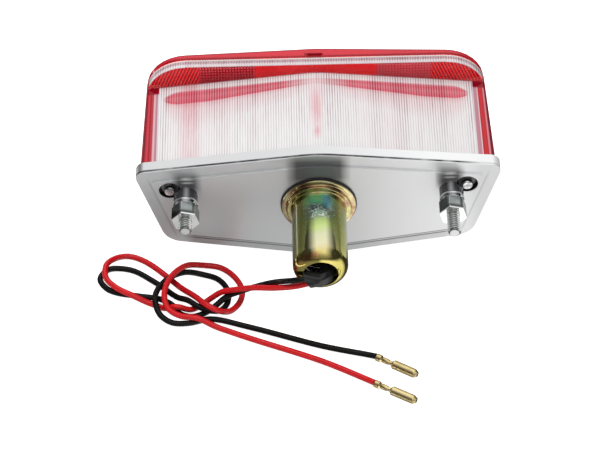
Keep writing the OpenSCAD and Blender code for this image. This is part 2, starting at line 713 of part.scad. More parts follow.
// Points run down the outside to the mouth, round the turned-in end and back up the inside
module holder_shell() color("olive") turned([
    [shell_r - shell_t, flange_y], [flange_r, flange_y], [flange_r, flange_y - flange_t],
    [step_r, flange_y - flange_t], [step_r, step_y + step_round], [step_r - step_round, step_y],
    [shell_r + step_round, step_y], [shell_r, step_y - step_round],
    for (i = [0:arc_steps]) let (a = i / arc_steps * acos((mouth_r - shell_r + dome_r) / dome_r))
        [shell_r - dome_r + dome_r * cos(a), dome_y - dome_r * sin(a)],
    for (i = [0:arc_steps])
        let (r = dome_r - shell_t, a = (1 - i / arc_steps) * acos((mouth_r - shell_r + dome_r) / r))
        [shell_r - dome_r + r * cos(a), dome_y - r * sin(a)],
]);

pin_hole = asin((pin_r + pin_gap) / barrel_r);
slot_spare = 3;

// A slot for a pin: a wide groove round the barrel, open to the barrel's front at its far end
module pin_slot(y, start) {
    half = pin_r + pin_gap;
    translate([0, 0, holder_z]) rotate([-90, 0, 0]) rotate([0, 0, start - pin_hole])
        rotate_extrude(angle = twist + 2 * pin_hole + slot_spare, $fn = fine)
        polygon([[barrel_r - over, y - half - push], [barrel_r + barrel_t + over, y - half - push],
            [barrel_r + barrel_t + over, y + half], [barrel_r - over, y + half]]);
    translate([0, 0, holder_z]) rotate([-90, 0, 0]) rotate([0, 0, start + twist])
        translate([barrel_r - over, -half, y]) cube([barrel_t + 2 * over, 2 * half, far]);
}

module bayonet_barrel() color("gold") difference() {
    turned([[barrel_hole_r, barrel_end_y - barrel_t], [barrel_r + barrel_t, barrel_end_y - barrel_t],
        [barrel_r + barrel_t, barrel_y], [flare_r, barrel_y], [flare_r, barrel_y + barrel_t],
        [barrel_r, barrel_y + barrel_t], [barrel_r, barrel_end_y], [barrel_hole_r, barrel_end_y]]);
    pin_slot(cap_y - pin_a, -90);
    pin_slot(cap_y - pin_b, 90);
}

// The sprung contact that the bulb pushes back

module contact_disc() color("sienna") difference() {
    bar(barrel_r - disc_gap, disc_end_y, disc_y, 0, holder_z);
    for (side = [-1, 1]) bar(rivet_r + rivet_gap, disc_end_y - over, disc_y + over, side * tip_x, holder_z);
}

module contact_tips() color("gold") for (side = [-1, 1]) turned([
    [0, disc_end_y - rivet_out], [rivet_r, disc_end_y - rivet_out], [rivet_r, disc_y], [tip_r, disc_y],
    [tip_r, disc_y + tip_h / 2], [tip_r - tip_h / 2, tip_y], [0, tip_y],
], side * tip_x);

coil_rings = 8;
coil_start = barrel_end_y + spring_wire / 2 + seat_gap;
coil_end = disc_end_y - spring_wire / 2 - seat_gap;
coil_route = [for (i = [0:coil_rings * spring_turns]) let (a = 360 * i / coil_rings)
    [spring_r * cos(a), coil_start + (coil_end - coil_start) * i / (coil_rings * spring_turns),
        holder_z + spring_r * sin(a)]];
coil_gap = min([for (i = [0:len(coil_route) - 5], k = [i + 4:len(coil_route) - 1])
    norm(coil_route[k] - coil_route[i])]) - spring_wire;
echo("Least gap between the turns of the contact spring", coil_gap);

module contact_spring() color("silver")
    tube(coil_route, spring_wire / 2, 6, [0, 1, 0], [0, 0, 1], [0, 0, 1]);

// The bulb

module bulb_cap() color("gold") difference() {
    turned([[0, cap_end_y], [cap_r - cap_round, cap_end_y], [cap_r, cap_end_y + cap_round], [cap_r, cap_y],
        [cap_r - cap_t, cap_y], [cap_r - cap_t, cap_end_y + cap_floor], [0, cap_end_y + cap_floor]]);
    translate([0, cap_y - pin_a, holder_z]) cylinder(r = pin_r + rivet_gap, h = cap_r + over, $fn = fine);
    translate([0, cap_y - pin_b, holder_z]) rotate([180, 0, 0])
        cylinder(r = pin_r + rivet_gap, h = cap_r + over, $fn = fine);
}

module bulb_pins() color("gold") {
    translate([0, cap_y - pin_a, holder_z + cap_r - cap_t])
        cylinder(r = pin_r, h = pin_reach - cap_r + cap_t, $fn = fine);
    translate([0, cap_y - pin_b, holder_z - pin_reach])
        cylinder(r = pin_r, h = pin_reach - cap_r + cap_t, $fn = fine);
}

module bulb_contacts() color("silver") for (side = [-1, 1]) turned([
    [0, tip_y + contact_gap], [lead_r - contact_out / 2, tip_y + contact_gap],
    [lead_r, tip_y + contact_gap + contact_out / 2], [lead_r, cap_end_y], [0, cap_end_y],
], side * tip_x);

globe_y = plate_y + bulb_tip - glass_r;
neck_foot_y = cap_end_y + cap_floor + glass_in;

// Points of a round globe on a straight neck, for the outside or the inside of the glass
function globe(r, neck) = let (edge = asin(neck / r))
    [for (i = [0:2 * arc_steps]) let (a = i / (2 * arc_steps) * (180 - edge))
        [r * sin(a), globe_y + r * cos(a)]];

module bulb_glass() color([0.95, 0.97, 1, 0.4]) turned(concat(
    globe(glass_r, neck_r), [[neck_r, neck_foot_y], [0, neck_foot_y], [0, neck_foot_y + glass_t]],
    [[neck_r - glass_t, neck_foot_y + glass_t]],
    [for (i = [2 * arc_steps:-1:0]) globe(glass_r - glass_t, neck_r - glass_t)[i]]));

module bulb_filaments() color("gainsboro") {
    top = cap_y + filament_d;
    foot = cap_y + stem_out - over;
    bar(stem_r, neck_foot_y + glass_t, cap_y + stem_out, 0, holder_z);
    for (side = [-1, 1]) {
        rod([side * stem_r / 2, foot, holder_z], [side * support_x, top + support_d, holder_z], support_d);
        rod([0, foot, holder_z + side * stem_r / 2],
            [0, top - filament_step + support_d, holder_z + side * support_x], support_d);
    }
    rod([-support_x, top, holder_z], [support_x, top, holder_z], filament_w);
    rod([0, top - filament_step, holder_z - support_x], [0, top - filament_step, holder_z + support_x],
        filament_w);
}

// The sleeve, the wires and their bullets

module wire_sleeve() color([0.1, 0.1, 0.1]) {
    bar(sleeve_r, sleeve_turn_y, disc_end_y - push - sleeve_back, sleeve_x, sleeve_z);
    translate([sleeve_x - sleeve_bend, sleeve_turn_y, sleeve_z]) rotate([0, 0, -90])
        rotate_extrude(angle = 90, $fn = fine) translate([sleeve_bend, 0]) circle(r = sleeve_r, $fn = fine);
    translate([sleeve_x - sleeve_bend - sleeve_straight, sleeve_turn_y - sleeve_bend, sleeve_z])
        rotate([0, 90, 0]) cylinder(r = sleeve_r, h = sleeve_straight, $fn = fine);
}

module wire(route, turn)
    tube(route, wire_d / 2, 8, [0, 0, 1], [-1, 0, 0], [cos(turn), sin(turn), 0]);

module wire_red() color("red") wire(red_route, bullet_turn_red);
module wire_black() color([0.15, 0.15, 0.15]) wire(black_route, bullet_turn_black);

// A bullet terminal: a crimp on the insulation, a crimp on the conductor, a neck and the barrel
module bullet(route, turn) color("gold") translate(route[len(route) - 1]) rotate([0, 90, turn])
    rotate_extrude($fn = fine) polygon([[0, 0], [claw_r, 0], [claw_r, claw_len],
        [crimp_r, claw_len + bullet_slope], [crimp_r, crimp_len], [neck_w, crimp_len + bullet_slope],
        [neck_w, barrel_at - bullet_slope], [bullet_r, barrel_at], [bullet_r, barrel_at + bullet_len],
        [nose_r, barrel_at + bullet_len + nose_len], [0, barrel_at + bullet_len + nose_len]]);

module bullet_red() bullet(red_route, bullet_turn_red);
module bullet_black() bullet(black_route, bullet_turn_black);

base_casting();
lens_seal();
mounting_stud_left();
mounting_stud_right();
flat_washer_left();
flat_washer_right();
spring_washer_left();
spring_washer_right();
mounting_nut_left();
mounting_nut_right();
red_lens();
clear_window();
lens_screw_left();
lens_screw_right();
screw_washer_left();
screw_washer_right();
holder_gasket();
holder_shell();
bayonet_barrel();
contact_disc();
contact_tips();
contact_spring();
bulb_cap();
bulb_pins();
bulb_contacts();
bulb_glass();
bulb_filaments();
wire_sleeve();
wire_red();
wire_black();
bullet_red();
bullet_black();
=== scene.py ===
import math

import bpy
from mathutils import Matrix, Vector


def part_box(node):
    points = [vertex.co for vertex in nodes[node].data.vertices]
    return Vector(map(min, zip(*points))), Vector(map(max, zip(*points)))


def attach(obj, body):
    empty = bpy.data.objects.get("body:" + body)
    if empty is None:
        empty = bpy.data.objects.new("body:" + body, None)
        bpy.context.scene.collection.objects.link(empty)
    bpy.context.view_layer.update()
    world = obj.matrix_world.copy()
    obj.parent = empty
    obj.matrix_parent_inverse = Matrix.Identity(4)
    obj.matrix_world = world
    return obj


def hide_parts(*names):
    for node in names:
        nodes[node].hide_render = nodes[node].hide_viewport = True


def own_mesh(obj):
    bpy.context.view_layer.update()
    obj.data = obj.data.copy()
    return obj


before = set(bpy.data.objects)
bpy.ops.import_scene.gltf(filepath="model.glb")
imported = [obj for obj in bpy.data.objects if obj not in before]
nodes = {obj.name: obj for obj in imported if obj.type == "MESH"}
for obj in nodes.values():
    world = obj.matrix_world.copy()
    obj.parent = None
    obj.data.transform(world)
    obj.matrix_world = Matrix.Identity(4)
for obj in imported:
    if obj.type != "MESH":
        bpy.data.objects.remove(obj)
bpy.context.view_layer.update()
mm = 0.001
print("frame loaded:", len(nodes), "nodes")


# --- camera, at the photograph's viewing angle ---

view = {"target": (-6.69, -14.5, 22.1), "place": (-6.69, -616.7, 690.9), "lens": 155, "sensor": 36, "roll": -1.3}


def newObject(name, data):
    piece = bpy.data.objects.new(name, data)
    bpy.context.collection.objects.link(piece)
    return piece


def addCamera():
    cameraData = bpy.data.cameras.new("photoCamera")
    cameraData.lens = view["lens"]
    cameraData.sensor_width = view["sensor"]
    cameraData.clip_end = 20
    camera = newObject("photoCamera", cameraData)
    place, target = Vector(view["place"]) * mm, Vector(view["target"]) * mm
    look = (target - place).to_track_quat("-Z", "Y").to_matrix().to_4x4()
    camera.matrix_world = Matrix.Translation(place) @ look @ Matrix.Rotation(math.radians(view["roll"]), 4, "Z")
    bpy.context.scene.camera = camera


addCamera()


# --- small helpers for making and finishing pieces ---

def only(piece):
    # nothing else may be selected while an operator works
    bpy.ops.object.select_all(action="DESELECT")
    piece.select_set(True)
    bpy.context.view_layer.objects.active = piece


meshTools = bpy.ops.mesh
merge = (meshTools.remove_doubles, {"threshold": 0.001 * mm})
faceOut = (meshTools.normals_make_consistent, {"inside": False})


def edited(piece, *steps):
    # runs mesh operators, each given with its settings, on the whole piece
    only(piece)
    bpy.ops.object.mode_set(mode="EDIT")
    for operator, settings in steps:
        meshTools.select_all(action="SELECT")
        operator(**settings)
    bpy.ops.object.mode_set(mode="OBJECT")


def capped(piece):
    # closes the open ends
    only(piece)
    bpy.ops.object.mode_set(mode="EDIT")
    meshTools.select_all(action="DESELECT")
    meshTools.select_non_manifold(extend=False)
    meshTools.fill_holes(sides=0)
    bpy.ops.object.mode_set(mode="OBJECT")


def newPiece(name, points, edges=(), faces=()):
    # from points in millimetres
    mesh = bpy.data.meshes.new(name)
    mesh.from_pydata([[c * mm for c in point] for point in points], edges, faces)
    return newObject(name, mesh)


def placed(piece, place, turn):
    # moves and turns the mesh itself, so that the object stays at the origin
    only(piece)
    piece.matrix_world = Matrix.Translation(Vector(place) * mm) @ turn
    bpy.ops.object.transform_apply(location=True, rotation=True, scale=True)


def addModifier(piece, kind, **settings):
    only(piece)
    modifier = piece.modifiers.new(kind.lower(), kind)
    for key, value in settings.items():
        setattr(modifier, key, value)
    bpy.ops.object.modifier_apply(modifier=modifier.name)


def smoothed(piece, angle):
    only(piece)
    bpy.ops.object.shade_smooth_by_angle(angle=math.radians(angle))
    addModifier(piece, "WEIGHTED_NORMAL", keep_sharp=True)


def settle(piece, body, material, nodeName):
    piece.data.materials.clear()
    piece.data.materials.append(material)
    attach(piece, body)
    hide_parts(nodeName)


def copied(nodeName, name):
    # a CAD node's mesh is loose triangles, so the copy is merged and its flat faces joined
    piece = newObject(name, nodes[nodeName].data.copy())
    edited(piece, (meshTools.remove_doubles, {"threshold": 0.002 * mm}),
           (meshTools.dissolve_limited, {"angle_limit": math.radians(0.4)}))
    return piece


def dressed(nodeName, name, body, material, slotName, edge, angle=40):
    # a CAD node's own shape, with its edges broken
    piece = copied(nodeName, name)
    if edge:
        addModifier(piece, "BEVEL", width=edge * mm, segments=2, limit_method="ANGLE", angle_limit=math.radians(30),
                    miter_outer="MITER_ARC", use_clamp_overlap=True)
    smoothed(piece, angle)
    settle(piece, body, material, nodeName)


def alongY(piece, x, y, z):
    # a piece made about the Z axis is turned so that its own +Z points along +Y
    placed(piece, (x, y, z), Matrix.Rotation(-math.pi / 2, 4, "X"))


def profileObject(name, points):
    # points are (radius, height) pairs, as one open line in the XZ plane
    return newPiece(name, [(r, 0, h) for r, h in points], [(i, i + 1) for i in range(len(points) - 1)])


def spun(name, points, steps=96):
    # a profile turned all the way round, closed unless it starts and ends on the axis
    piece = profileObject(name, points if points[0][0] == 0 == points[-1][0] else points + [points[0]])
    turn = {"steps": steps, "angle": math.tau, "center": (0, 0, 0), "axis": (0, 0, 1)}
    edited(piece, (meshTools.spin, turn), merge, (meshTools.dissolve_degenerate, {"threshold": 0.0005 * mm}), faceOut)
    return piece


def arc(centreR, centreH, radius, start, end, steps=6):
    # points of an arc in a profile, angles in degrees
    turns = [math.radians(start + (end - start) * i / steps) for i in range(steps + 1)]
    return [(centreR + radius * math.cos(turn), centreH + radius * math.sin(turn)) for turn in turns]


# --- shader groups ---

def feed(value, socket):
    # a value is another socket, a number, a vector, or a colour without its alpha, a grey being one number
    if hasattr(value, "links"):
        socket.id_data.links.new(value, socket)
    elif socket.type == "RGBA":
        socket.default_value = (value, value, value, 1) if isinstance(value, (int, float)) else (*value, 1)
    else:
        socket.default_value = value


def put(tree, kind, feeds=None, **settings):
    node = tree.nodes.new(kind)
    for key, value in settings.items():
        setattr(node, key, value)
    for key, value in (feeds or {}).items():
        feed(value, node.inputs[key])
    return node


def joined(kind, feeds, **settings):
    # a node in the tree that the first socket it is fed from belongs to
    return put(next(value for value in feeds.values() if hasattr(value, "links")).id_data, kind, feeds, **settings)


def mapped(value, low, high, toLow=0, toHigh=1):
    return joined("ShaderNodeMapRange", {"Value": value, "From Min": low, "From Max": high, "To Min": toLow,
                                         "To Max": toHigh}).outputs["Result"]


def mixed(factor, first, second):
    return joined("ShaderNodeMix", {0: factor, 6: first, 7: second}, data_type="RGBA").outputs[2]


def combined(operation, result, *values):
    # a row of Math nodes, each taking the result so far and the next value
    for value in values:
        result = joined("ShaderNodeMath", {0: result, 1: value}, operation=operation).outputs[0]
    return result


def product(*values):
    return combined("MULTIPLY", *values)


def highest(*values):
    return combined("MAXIMUM", *values)


def difference(*values):
    return combined("SUBTRACT", *values)


def axesOf(tree, output="Object"):
    axes = joined("ShaderNodeSeparateXYZ", {0: put(tree, "ShaderNodeTexCoord").outputs[output]})
    return axes.outputs["X"], axes.outputs["Y"], axes.outputs["Z"]


def distanceFrom(x, z, atX, atZ):
    # how far away the line along Y through one point is
    off, up = difference(x, atX * mm), difference(z, atZ * mm)
    return combined("SQRT", combined("ADD", product(off, off), product(up, up)), 0)


def waveOf(value, pitch):
    # a sine of the given pitch in millimetres, between 0 and 1
    return mapped(combined("SINE", product(value, math.tau / (pitch * mm)), 0), -1, 1)


def graded(value, low, high, toLow=0, toHigh=1):
    # as mapped, with the two limits in millimetres
    return mapped(value, low * mm, high * mm, toLow, toHigh)


def between(value, low, high, soft):
    # 1 inside the two limits, in millimetres, with soft edges
    return combined("MINIMUM", graded(value, low - soft, low + soft),
                    graded(value, high - soft, high + soft, 1, 0))


def area(*sides):
    # 1 where every coordinate is between its limits, each side being (coordinate, low, high, soft)
    return product(*(between(*side) for side in sides))


def ramped(value, stops):
    # stops are (position, colour) pairs in order
    ramp = joined("ShaderNodeValToRGB", {"Fac": value})
    elements = ramp.color_ramp.elements
    for element, (position, colour) in zip(elements, (stops[0], stops[-1])):
        element.position, element.color = position, (*colour, 1)
    for position, colour in stops[1:-1]:
        elements.new(position).color = (*colour, 1)
    return ramp.outputs["Color"]


def newGroup(name, inputs, outputs):
    group = bpy.data.node_groups.new(name, "ShaderNodeTree")
    for label, kind, value in inputs:
        socket = group.interface.new_socket(name=label, in_out="INPUT", socket_type=kind)
        socket.default_value = value
    for label in outputs:
        group.interface.new_socket(name=label, in_out="OUTPUT", socket_type="NodeSocketFloat")
    return group, group.nodes.new("NodeGroupInput"), group.nodes.new("NodeGroupOutput")


def makeMottleGroup():
    # broad patches and fine grain, both between 0 and 1, read on the piece's own coordinates
    group, source, sink = newGroup("mottle", [("Scale", "NodeSocketFloat", 60.0), ("Grain", "NodeSocketFloat", 900.0),
                                              ("Stretch", "NodeSocketVector", (1, 1, 1))], ["Patches", "Fine"])
    place = put(group, "ShaderNodeTexCoord")
    stretch = joined("ShaderNodeVectorMath", {0: place.outputs["Object"], 1: source.outputs["Stretch"]},
                     operation="MULTIPLY")
    for scale, detail, output in (("Scale", 4, "Patches"), ("Grain", 3, "Fine")):
        noise = joined("ShaderNodeTexNoise", {"Vector": stretch.outputs[0], "Scale": source.outputs[scale],
                                              "Detail": detail})
        feed(mapped(noise.outputs["Fac"], 0.3, 0.7), sink.inputs[output])
    return group


def makeEdgeWearAndHighlightGroup():
    # 1 along sharp edges, where a bevelled normal leaves the face's own, broken up by noise; it carries edge wear and
    # a painted highlight on edges
    group, source, sink = newGroup("edgeWearAndHighlight", [("Amount", "NodeSocketFloat", 0.5),
                                                ("Scale", "NodeSocketFloat", 400.0)], ["Mask"])
    place = put(group, "ShaderNodeTexCoord")
    geometry = put(group, "ShaderNodeNewGeometry")
    noise = joined("ShaderNodeTexNoise", {"Vector": place.outputs["Object"], "Scale": source.outputs["Scale"]})
    bevel = put(group, "ShaderNodeBevel", {"Radius": 0.25 * mm}, samples=4)
    turned = joined("ShaderNodeVectorMath", {0: geometry.outputs["Normal"], 1: bevel.outputs["Normal"]},
                    operation="DOT_PRODUCT")
    broken = joined("ShaderNodeMath", {0: mapped(turned.outputs["Value"], 0.995, 0.9),
                                       1: mapped(noise.outputs["Fac"], 0.35, 0.6, 0, 1.5)},
                    operation="MULTIPLY", use_clamp=True)
    feed(product(broken.outputs[0], source.outputs["Amount"]), sink.inputs["Mask"])
    return group


mottle = makeMottleGroup()
edgeWearAndHighlight = makeEdgeWearAndHighlightGroup()


def newMaterial(name):
    material = bpy.data.materials.new(name)
    material.use_nodes = True
    return material, material.node_tree


def paintedMaterial(name):
    # a material with the piece's own coordinates, the last one being the distance from its middle plane
    material, tree = newMaterial(name)
    x, y, z = axesOf(tree)
    return material, tree, x, y, z, combined("ABSOLUTE", x, 0)


def addMottle(tree, scale, grain, stretch=(1, 1, 1)):
    node = put(tree, "ShaderNodeGroup", node_tree=mottle)
    for label, value in (("Scale", scale), ("Grain", grain), ("Stretch", stretch)):
        node.inputs[label].default_value = value
    return node.outputs["Patches"], node.outputs["Fine"]


def wornAndHighlightedEdges(colour, amount, bright):
    edgeMask = put(colour.id_data, "ShaderNodeGroup", node_tree=edgeWearAndHighlight)
    edgeMask.inputs["Amount"].default_value = amount
    return mixed(edgeMask.outputs["Mask"], colour, bright)


def finished(material, colour, rough, bump=None, **others):
    # bump is (height, strength, distance in millimetres), and the others are inputs of the shader by their names
    feeds = {"Base_Color": colour, "Roughness": rough, **others}
    if bump:
        height, strength, distance = bump
        feeds["Normal"] = joined("ShaderNodeBump", {"Height": height, "Strength": strength,
                                                    "Distance": distance * mm}).outputs["Normal"]
    for label, value in feeds.items():
        feed(value, material.node_tree.nodes["Principled BSDF"].inputs[label.replace("_", " ")])
    return material


def makeSurface(name, light, dark, rough, metallic, scale, grain, bump, depth, wearAndHighlight=None, wearAndHighlightAmount=0.6, **others):
    # the common build: patchy colour, patchy roughness, fine relief, and bright edges, wear and a painted highlight,
    # where they are asked for
    material, tree = newMaterial(name)
    patches, fine = addMottle(tree, scale, grain)
    colour = mixed(patches, light, dark)
    if wearAndHighlight:
        colour = wornAndHighlightedEdges(colour, wearAndHighlightAmount, wearAndHighlight)
    return finished(material, colour, mapped(patches, 0, 1, *rough), (fine, bump, depth), Metallic=metallic,
                    **others)


# --- sizes that shapes and finishes share, in millimetres ---

lens = {"bevel": 0.35, "foot": -4.3, "inset": 1.4, "wall": 2.2, "windowHalf": 55.45, "reed": 0.9, "reedDepth": 0.45,
        "shelf": 33.55, "shelfEnd": 37.15, "shelfFoot": 41.55, "capHalf": 60, "capTop": 52.9, "capRadius": 14,
        "ribPitch": 0.9, "ribHeight": 0.22, "overlap": 0.4, "gap": 0.06, "cornerSteps": 16, "waveSteps": 4}

stud = {"x": 46, "z": 33.5, "radius": 2.24, "root": 1.78, "pitch": 1.0, "ends": {"Left": -26.4, "Right": -29.9},
        "start": -5.3, "chamfer": 0.55, "headRadius": 3.0, "headHeight": 1.6, "seat": -5.5,
        "cutOff": 0.013, "chamferSlope": 1.2, "sides": 32, "headSides": 48}

# the casting's back as its finish reads it: the lens screws' bores, and the slopes of its lower edge and its ends
plate = {"boreX": 51.4, "boreZ": 35.8, "boreRadius": 3.8, "keelSlope": 0.1747, "endSlope": 0.2907, "endFoot": 51.07}


# --- finishes ---

def makeCastAlloy():
    # bare die-cast alloy: smooth and pale, with painted light and shade: darker to the left and paler to the right, a
    # dark reflection over the holder and the bosses, glints and dark lines, and black in the counterbores
    material, tree, x, y, z, across = paintedMaterial("castAlloy")
    patches, fine = addMottle(tree, 14, 1500)
    colour = mixed(patches, (0.80, 0.805, 0.81), (0.76, 0.765, 0.77))
    # painted shade on the plate, darker towards the left, and painted light, paler towards the right
    leftShade = product(graded(x, -45, 40, 0.62, 0), graded(y, -8.3, -8.1, 1, 0), graded(z, 30, 42, 1, 0.5))
    colour = mixed(leftShade, colour, (0.455, 0.505, 0.51))
    colour = mixed(graded(x, 0, 40), colour, (0.97, 0.975, 0.98))
    # bright edges: wear and a painted highlight
    colour = wornAndHighlightedEdges(colour, 0.7, (0.93, 0.93, 0.94))
    # a painted dark reflection of the holder and the bosses on the plate above them
    over = area((x, -9.5, 9.5, 2), (z, 38, 50, 2.5))
    beside = area((across, 41.5, 49.5, 1.5), (z, 35, 42.5, 2))
    paintedReflection = product(highest(over, beside), graded(y, -7.9, -7.7, 0.85, 0))
    colour = mixed(paintedReflection, colour, (0.08, 0.08, 0.085))
    # painted glints: bright streaks on the plate above the bosses, as reflections in its polish
    pad = graded(y, -8.4, -8.3, 1, 0)
    paintedGlints = highest(between(z, 40.7, 41.3, 0.3), between(z, 39.1, 39.8, 0.3))
    paintedGlints = product(paintedGlints, between(across, 43.4, 47.0, 1.0), pad, 0.85)
    colour = mixed(paintedGlints, colour, 0.95)
    # painted dark lines: a dark reflection along the edge of the side wall, and shadow beside the raised pad at the
    # bottom and at the ends
    uneven, _ = addMottle(tree, 140, 500)
    edge = product(between(y, -8.15, -7.3, 0.15), mapped(uneven, 0, 0.6, 0.55, 1), graded(x, 48, 56, 1, 0.25))
    keel = difference(z, product(across, plate["keelSlope"]))
    below = highest(between(keel, 3.6, 4.8, 0.15), product(between(keel, 2.5, 3.2, 0.2), 0.8),
                    product(between(keel, 0, 3.6, 0.4), 0.22))
    below = product(below, graded(across, 44, 48, 1, 0))
    end = combined("ADD", product(z, plate["endSlope"]), plate["endFoot"] * mm)
    beyond = area((difference(end, across), 3.9, 4.4, 0.4), (z, 12, 40, 2))
    padShadow = product(highest(below, product(beyond, 0.35)), pad, 0.95)
    colour = mixed(highest(edge, padShadow), colour, (0.05, 0.05, 0.055))
    # the bosses are painted black for their dark reflection, with a painted highlight on top, and the lens screws'
    # bores black round a grey middle
    boss = graded(y, -9.8, -9.4, 1, 0)
    bossHighlight = product(between(across, 45.0, 46.2, 0.8), graded(z, 34, 36, 0, 0.6))
    colour = mixed(boss, colour, mixed(bossHighlight, (0.06, 0.06, 0.065), 0.7))
    # painted shade: the bores' hollows black round the grey screw ends
    far = distanceFrom(across, z, plate["boreX"], plate["boreZ"])
    bore = product(graded(far, plate["boreRadius"], plate["boreRadius"] + 0.15, 1, 0), graded(y, -9.2, -9.0))
    ring = mixed(graded(far, 2.8, 3.1), (0.22, 0.22, 0.23), (0.012, 0.012, 0.013))
    colour = mixed(bore, colour, ring)
    rough = difference(graded(y, -8.3, -8.1, 0.38, 0.30), product(boss, 0.18))
    bare = product(graded(y, -8.3, -8.1, 0.4, 0.8), graded(x, 52, 56, 1, 0.3), mapped(bore, 0, 1, 1, 0))
    return finished(material, colour, rough, (fine, 0.03, 0.03), Metallic=bare)


def makePassivated():
    # yellow chromate on steel: olive, running through green, blue, yellow-green and cream along its top, with painted
    # light and shade: the top lighter, the sides darker
    material, tree, x, y, z, _ = paintedMaterial("passivatedSteel")
    patches, fine = addMottle(tree, 110, 1400)
    along = graded(y, -42, -9.5)
    drift = combined("ADD", along, mapped(patches, 0, 1, -0.045, 0.045))
    flange = [(0.905, (0.60, 0.56, 0.26)), (0.935, (0.36, 0.20, 0.12)), (0.97, (0.62, 0.54, 0.30)),
              (1.0, (0.74, 0.68, 0.42))]
    # the hues are the chromate's own; the sides are painted darker than the top as shade on the flanks, and the top's
    # pale cream is a painted highlight
    sides = ramped(drift, [(0.0, (0.52, 0.45, 0.12)), (0.12, (0.50, 0.46, 0.12)), (0.25, (0.34, 0.35, 0.09)),
                                 (0.6, (0.25, 0.27, 0.07)), (0.88, (0.30, 0.26, 0.08))] + flange)
    top = ramped(drift, [
        (0.0, (0.60, 0.52, 0.14)), (0.08, (0.78, 0.66, 0.26)), (0.17, (0.80, 0.75, 0.48)), (0.30, (0.70, 0.72, 0.46)),
        (0.43, (0.56, 0.70, 0.24)), (0.54, (0.38, 0.48, 0.18)), (0.61, (0.24, 0.32, 0.20)),
        (0.71, (0.22, 0.34, 0.28)), (0.78, (0.20, 0.72, 0.34)), (0.87, (0.34, 0.74, 0.28))] + flange)
    teal = area((x, 1.4, 4.6, 0.8), (y, -19.5, -13.6, 0.8))
    top = mixed(teal, top, (0.22, 0.60, 0.68))
    centre = product(between(x, -4.4, 4.6, 1.8), graded(z, 30, 32))
    colour = mixed(centre, sides, top)
    brown = product(area((x, -7.5, -0.5, 1.2), (y, -41.2, -39.4, 0.5)), 0.8)
    colour = mixed(brown, colour, (0.52, 0.22, 0.08))
    speckle = product(mapped(fine, 0.62, 0.8), between(y, -24, -17.5, 1.5), centre)
    speckle = highest(speckle, mapped(fine, 0.75, 1, 0, 0.3))
    colour = mixed(speckle, colour, (0.72, 0.78, 0.78))
    # a painted highlight: a fine bright line down the left side, a narrow light's reflection
    mark = product(area((x, -7.95, -7.72, 0.1), (y, -37.5, -14.5, 0.6)), graded(z, 30, 31))
    colour = mixed(mark, colour, (0.95, 0.95, 0.80))
    green = combined("MINIMUM", mapped(along, 0.68, 0.78), mapped(along, 0.90, 0.91, 1, 0))
    matt = highest(product(green, centre), product(mark, 2.4))
    matt = combined("ADD", matt, product(speckle, 0.6))
    return finished(material, colour, mapped(patches, 0, 1, 0.07, 0.13), (fine, 0.05, 0.04),
                    Metallic=mapped(matt, 0, 1, 1, 0.74))


def makeClear(name, colour, transmission, rough, bumpScale, bump, ior=1.49):
    # clear plastic, with a slight ripple left by the mould
    material, tree = newMaterial(name)
    patches, fine = addMottle(tree, bumpScale, 700)
    tint = mixed(patches, colour, [c * 0.93 for c in colour])
    return finished(material, tint, mapped(fine, 0, 1, rough, rough * 1.6), (patches, bump, 0.1),
                    Transmission_Weight=transmission, IOR=ior)


def makeReeded():
    # painted light: white for the light the reeds scatter, fine grey lines painted where they refract darker things,
    # and the red front painted as a band under their outer end, as refraction shows it
    material, tree, x, y, _, across = paintedMaterial("reededPlastic")
    uneven, unevenFine = addMottle(tree, 420, 2600, (1, 0.02, 0.02))
    broad, broadFine = addMottle(tree, 60, 900, (1, 0.10, 0.10))
    wave = waveOf(x, lens["reed"])
    line = product(mapped(wave, 0.3, 0.95), mapped(uneven, 0, 1, 0.3, 1), mapped(broadFine, 0, 1, 0.5, 1.1))
    white = mixed(mapped(broad, 0.4, 1, 0, 0.5), (1.0, 0.985, 0.985), (0.98, 0.88, 0.89))
    # the lines' painted shade, maroon towards the front
    paintedLineShade = mixed(graded(y, 4, 30), (0.34, 0.25, 0.28), (0.34, 0.12, 0.17))
    colour = mixed(product(line, graded(y, 5, 33, 0.6, 1)), white, paintedLineShade)
    # painted red seen through the window, under the middle and over the left screw tube
    middle = product(area((x, -1.6, 1.6, 1.8), (y, 8, 27, 6)), 0.8)
    tube = product(between(x, -47.4, -41.6, 1.2), graded(y, 4, 28, 0.30, 0.55))
    tip = product(area((x, -0.8, 1.0, 0.8), (y, 3, 7, 2.5)), 1.3)
    paintedRedSeenThrough = product(highest(middle, tube, tip), mapped(broadFine, 0, 1, 0.5, 1))
    colour = mixed(paintedRedSeenThrough, colour, (0.88, 0.36, 0.42))
    # the painted image of the red front, as refraction shows it: a band 3 mm below the shelf, 2 mm wide in the middle
    # and wider to the sides
    width = graded(across, 0, 38, 2.6 * mm, 6.4 * mm)
    rounded = product(combined("POWER", graded(across, 48, 53.5), 2), 2.6 * mm)
    depth = difference((lens["shelf"] - 2.7) * mm, y, rounded)
    share = combined("DIVIDE", depth, difference(width, product(rounded, 1.7)))
    levels = ((0, 0), (0.04, 0.75), (0.1, 0.9), (0.2, 0.8), (0.29, 0.9), (0.34, 0.95), (0.37, 0.4), (0.5, 0.2),
              (1, 0))
    band = ramped(product(share, 0.35), [(place, (level,) * 3) for place, level in levels])
    strength = product(band, graded(across, 2, 12, 0.3, 1), graded(across, 52.5, 54.0, 1, 0))
    reeds = product(wave, mapped(uneven, 0, 1, 0.5, 1))
    bandColour = mixed(mapped(reeds, 0.15, 0.7), (0.93, 0.15, 0.22), (0.42, 0.01, 0.04))
    colour = mixed(strength, colour, bandColour)
    colour = mixed(graded(y, 33.15, 33.3, 0, 0.7), colour, (0.45, 0.10, 0.15))
    return finished(material, colour, mapped(unevenFine, 0, 1, 0.14, 0.28), (line, 0.25, 0.1),
                    Transmission_Weight=0.1, IOR=1.4)


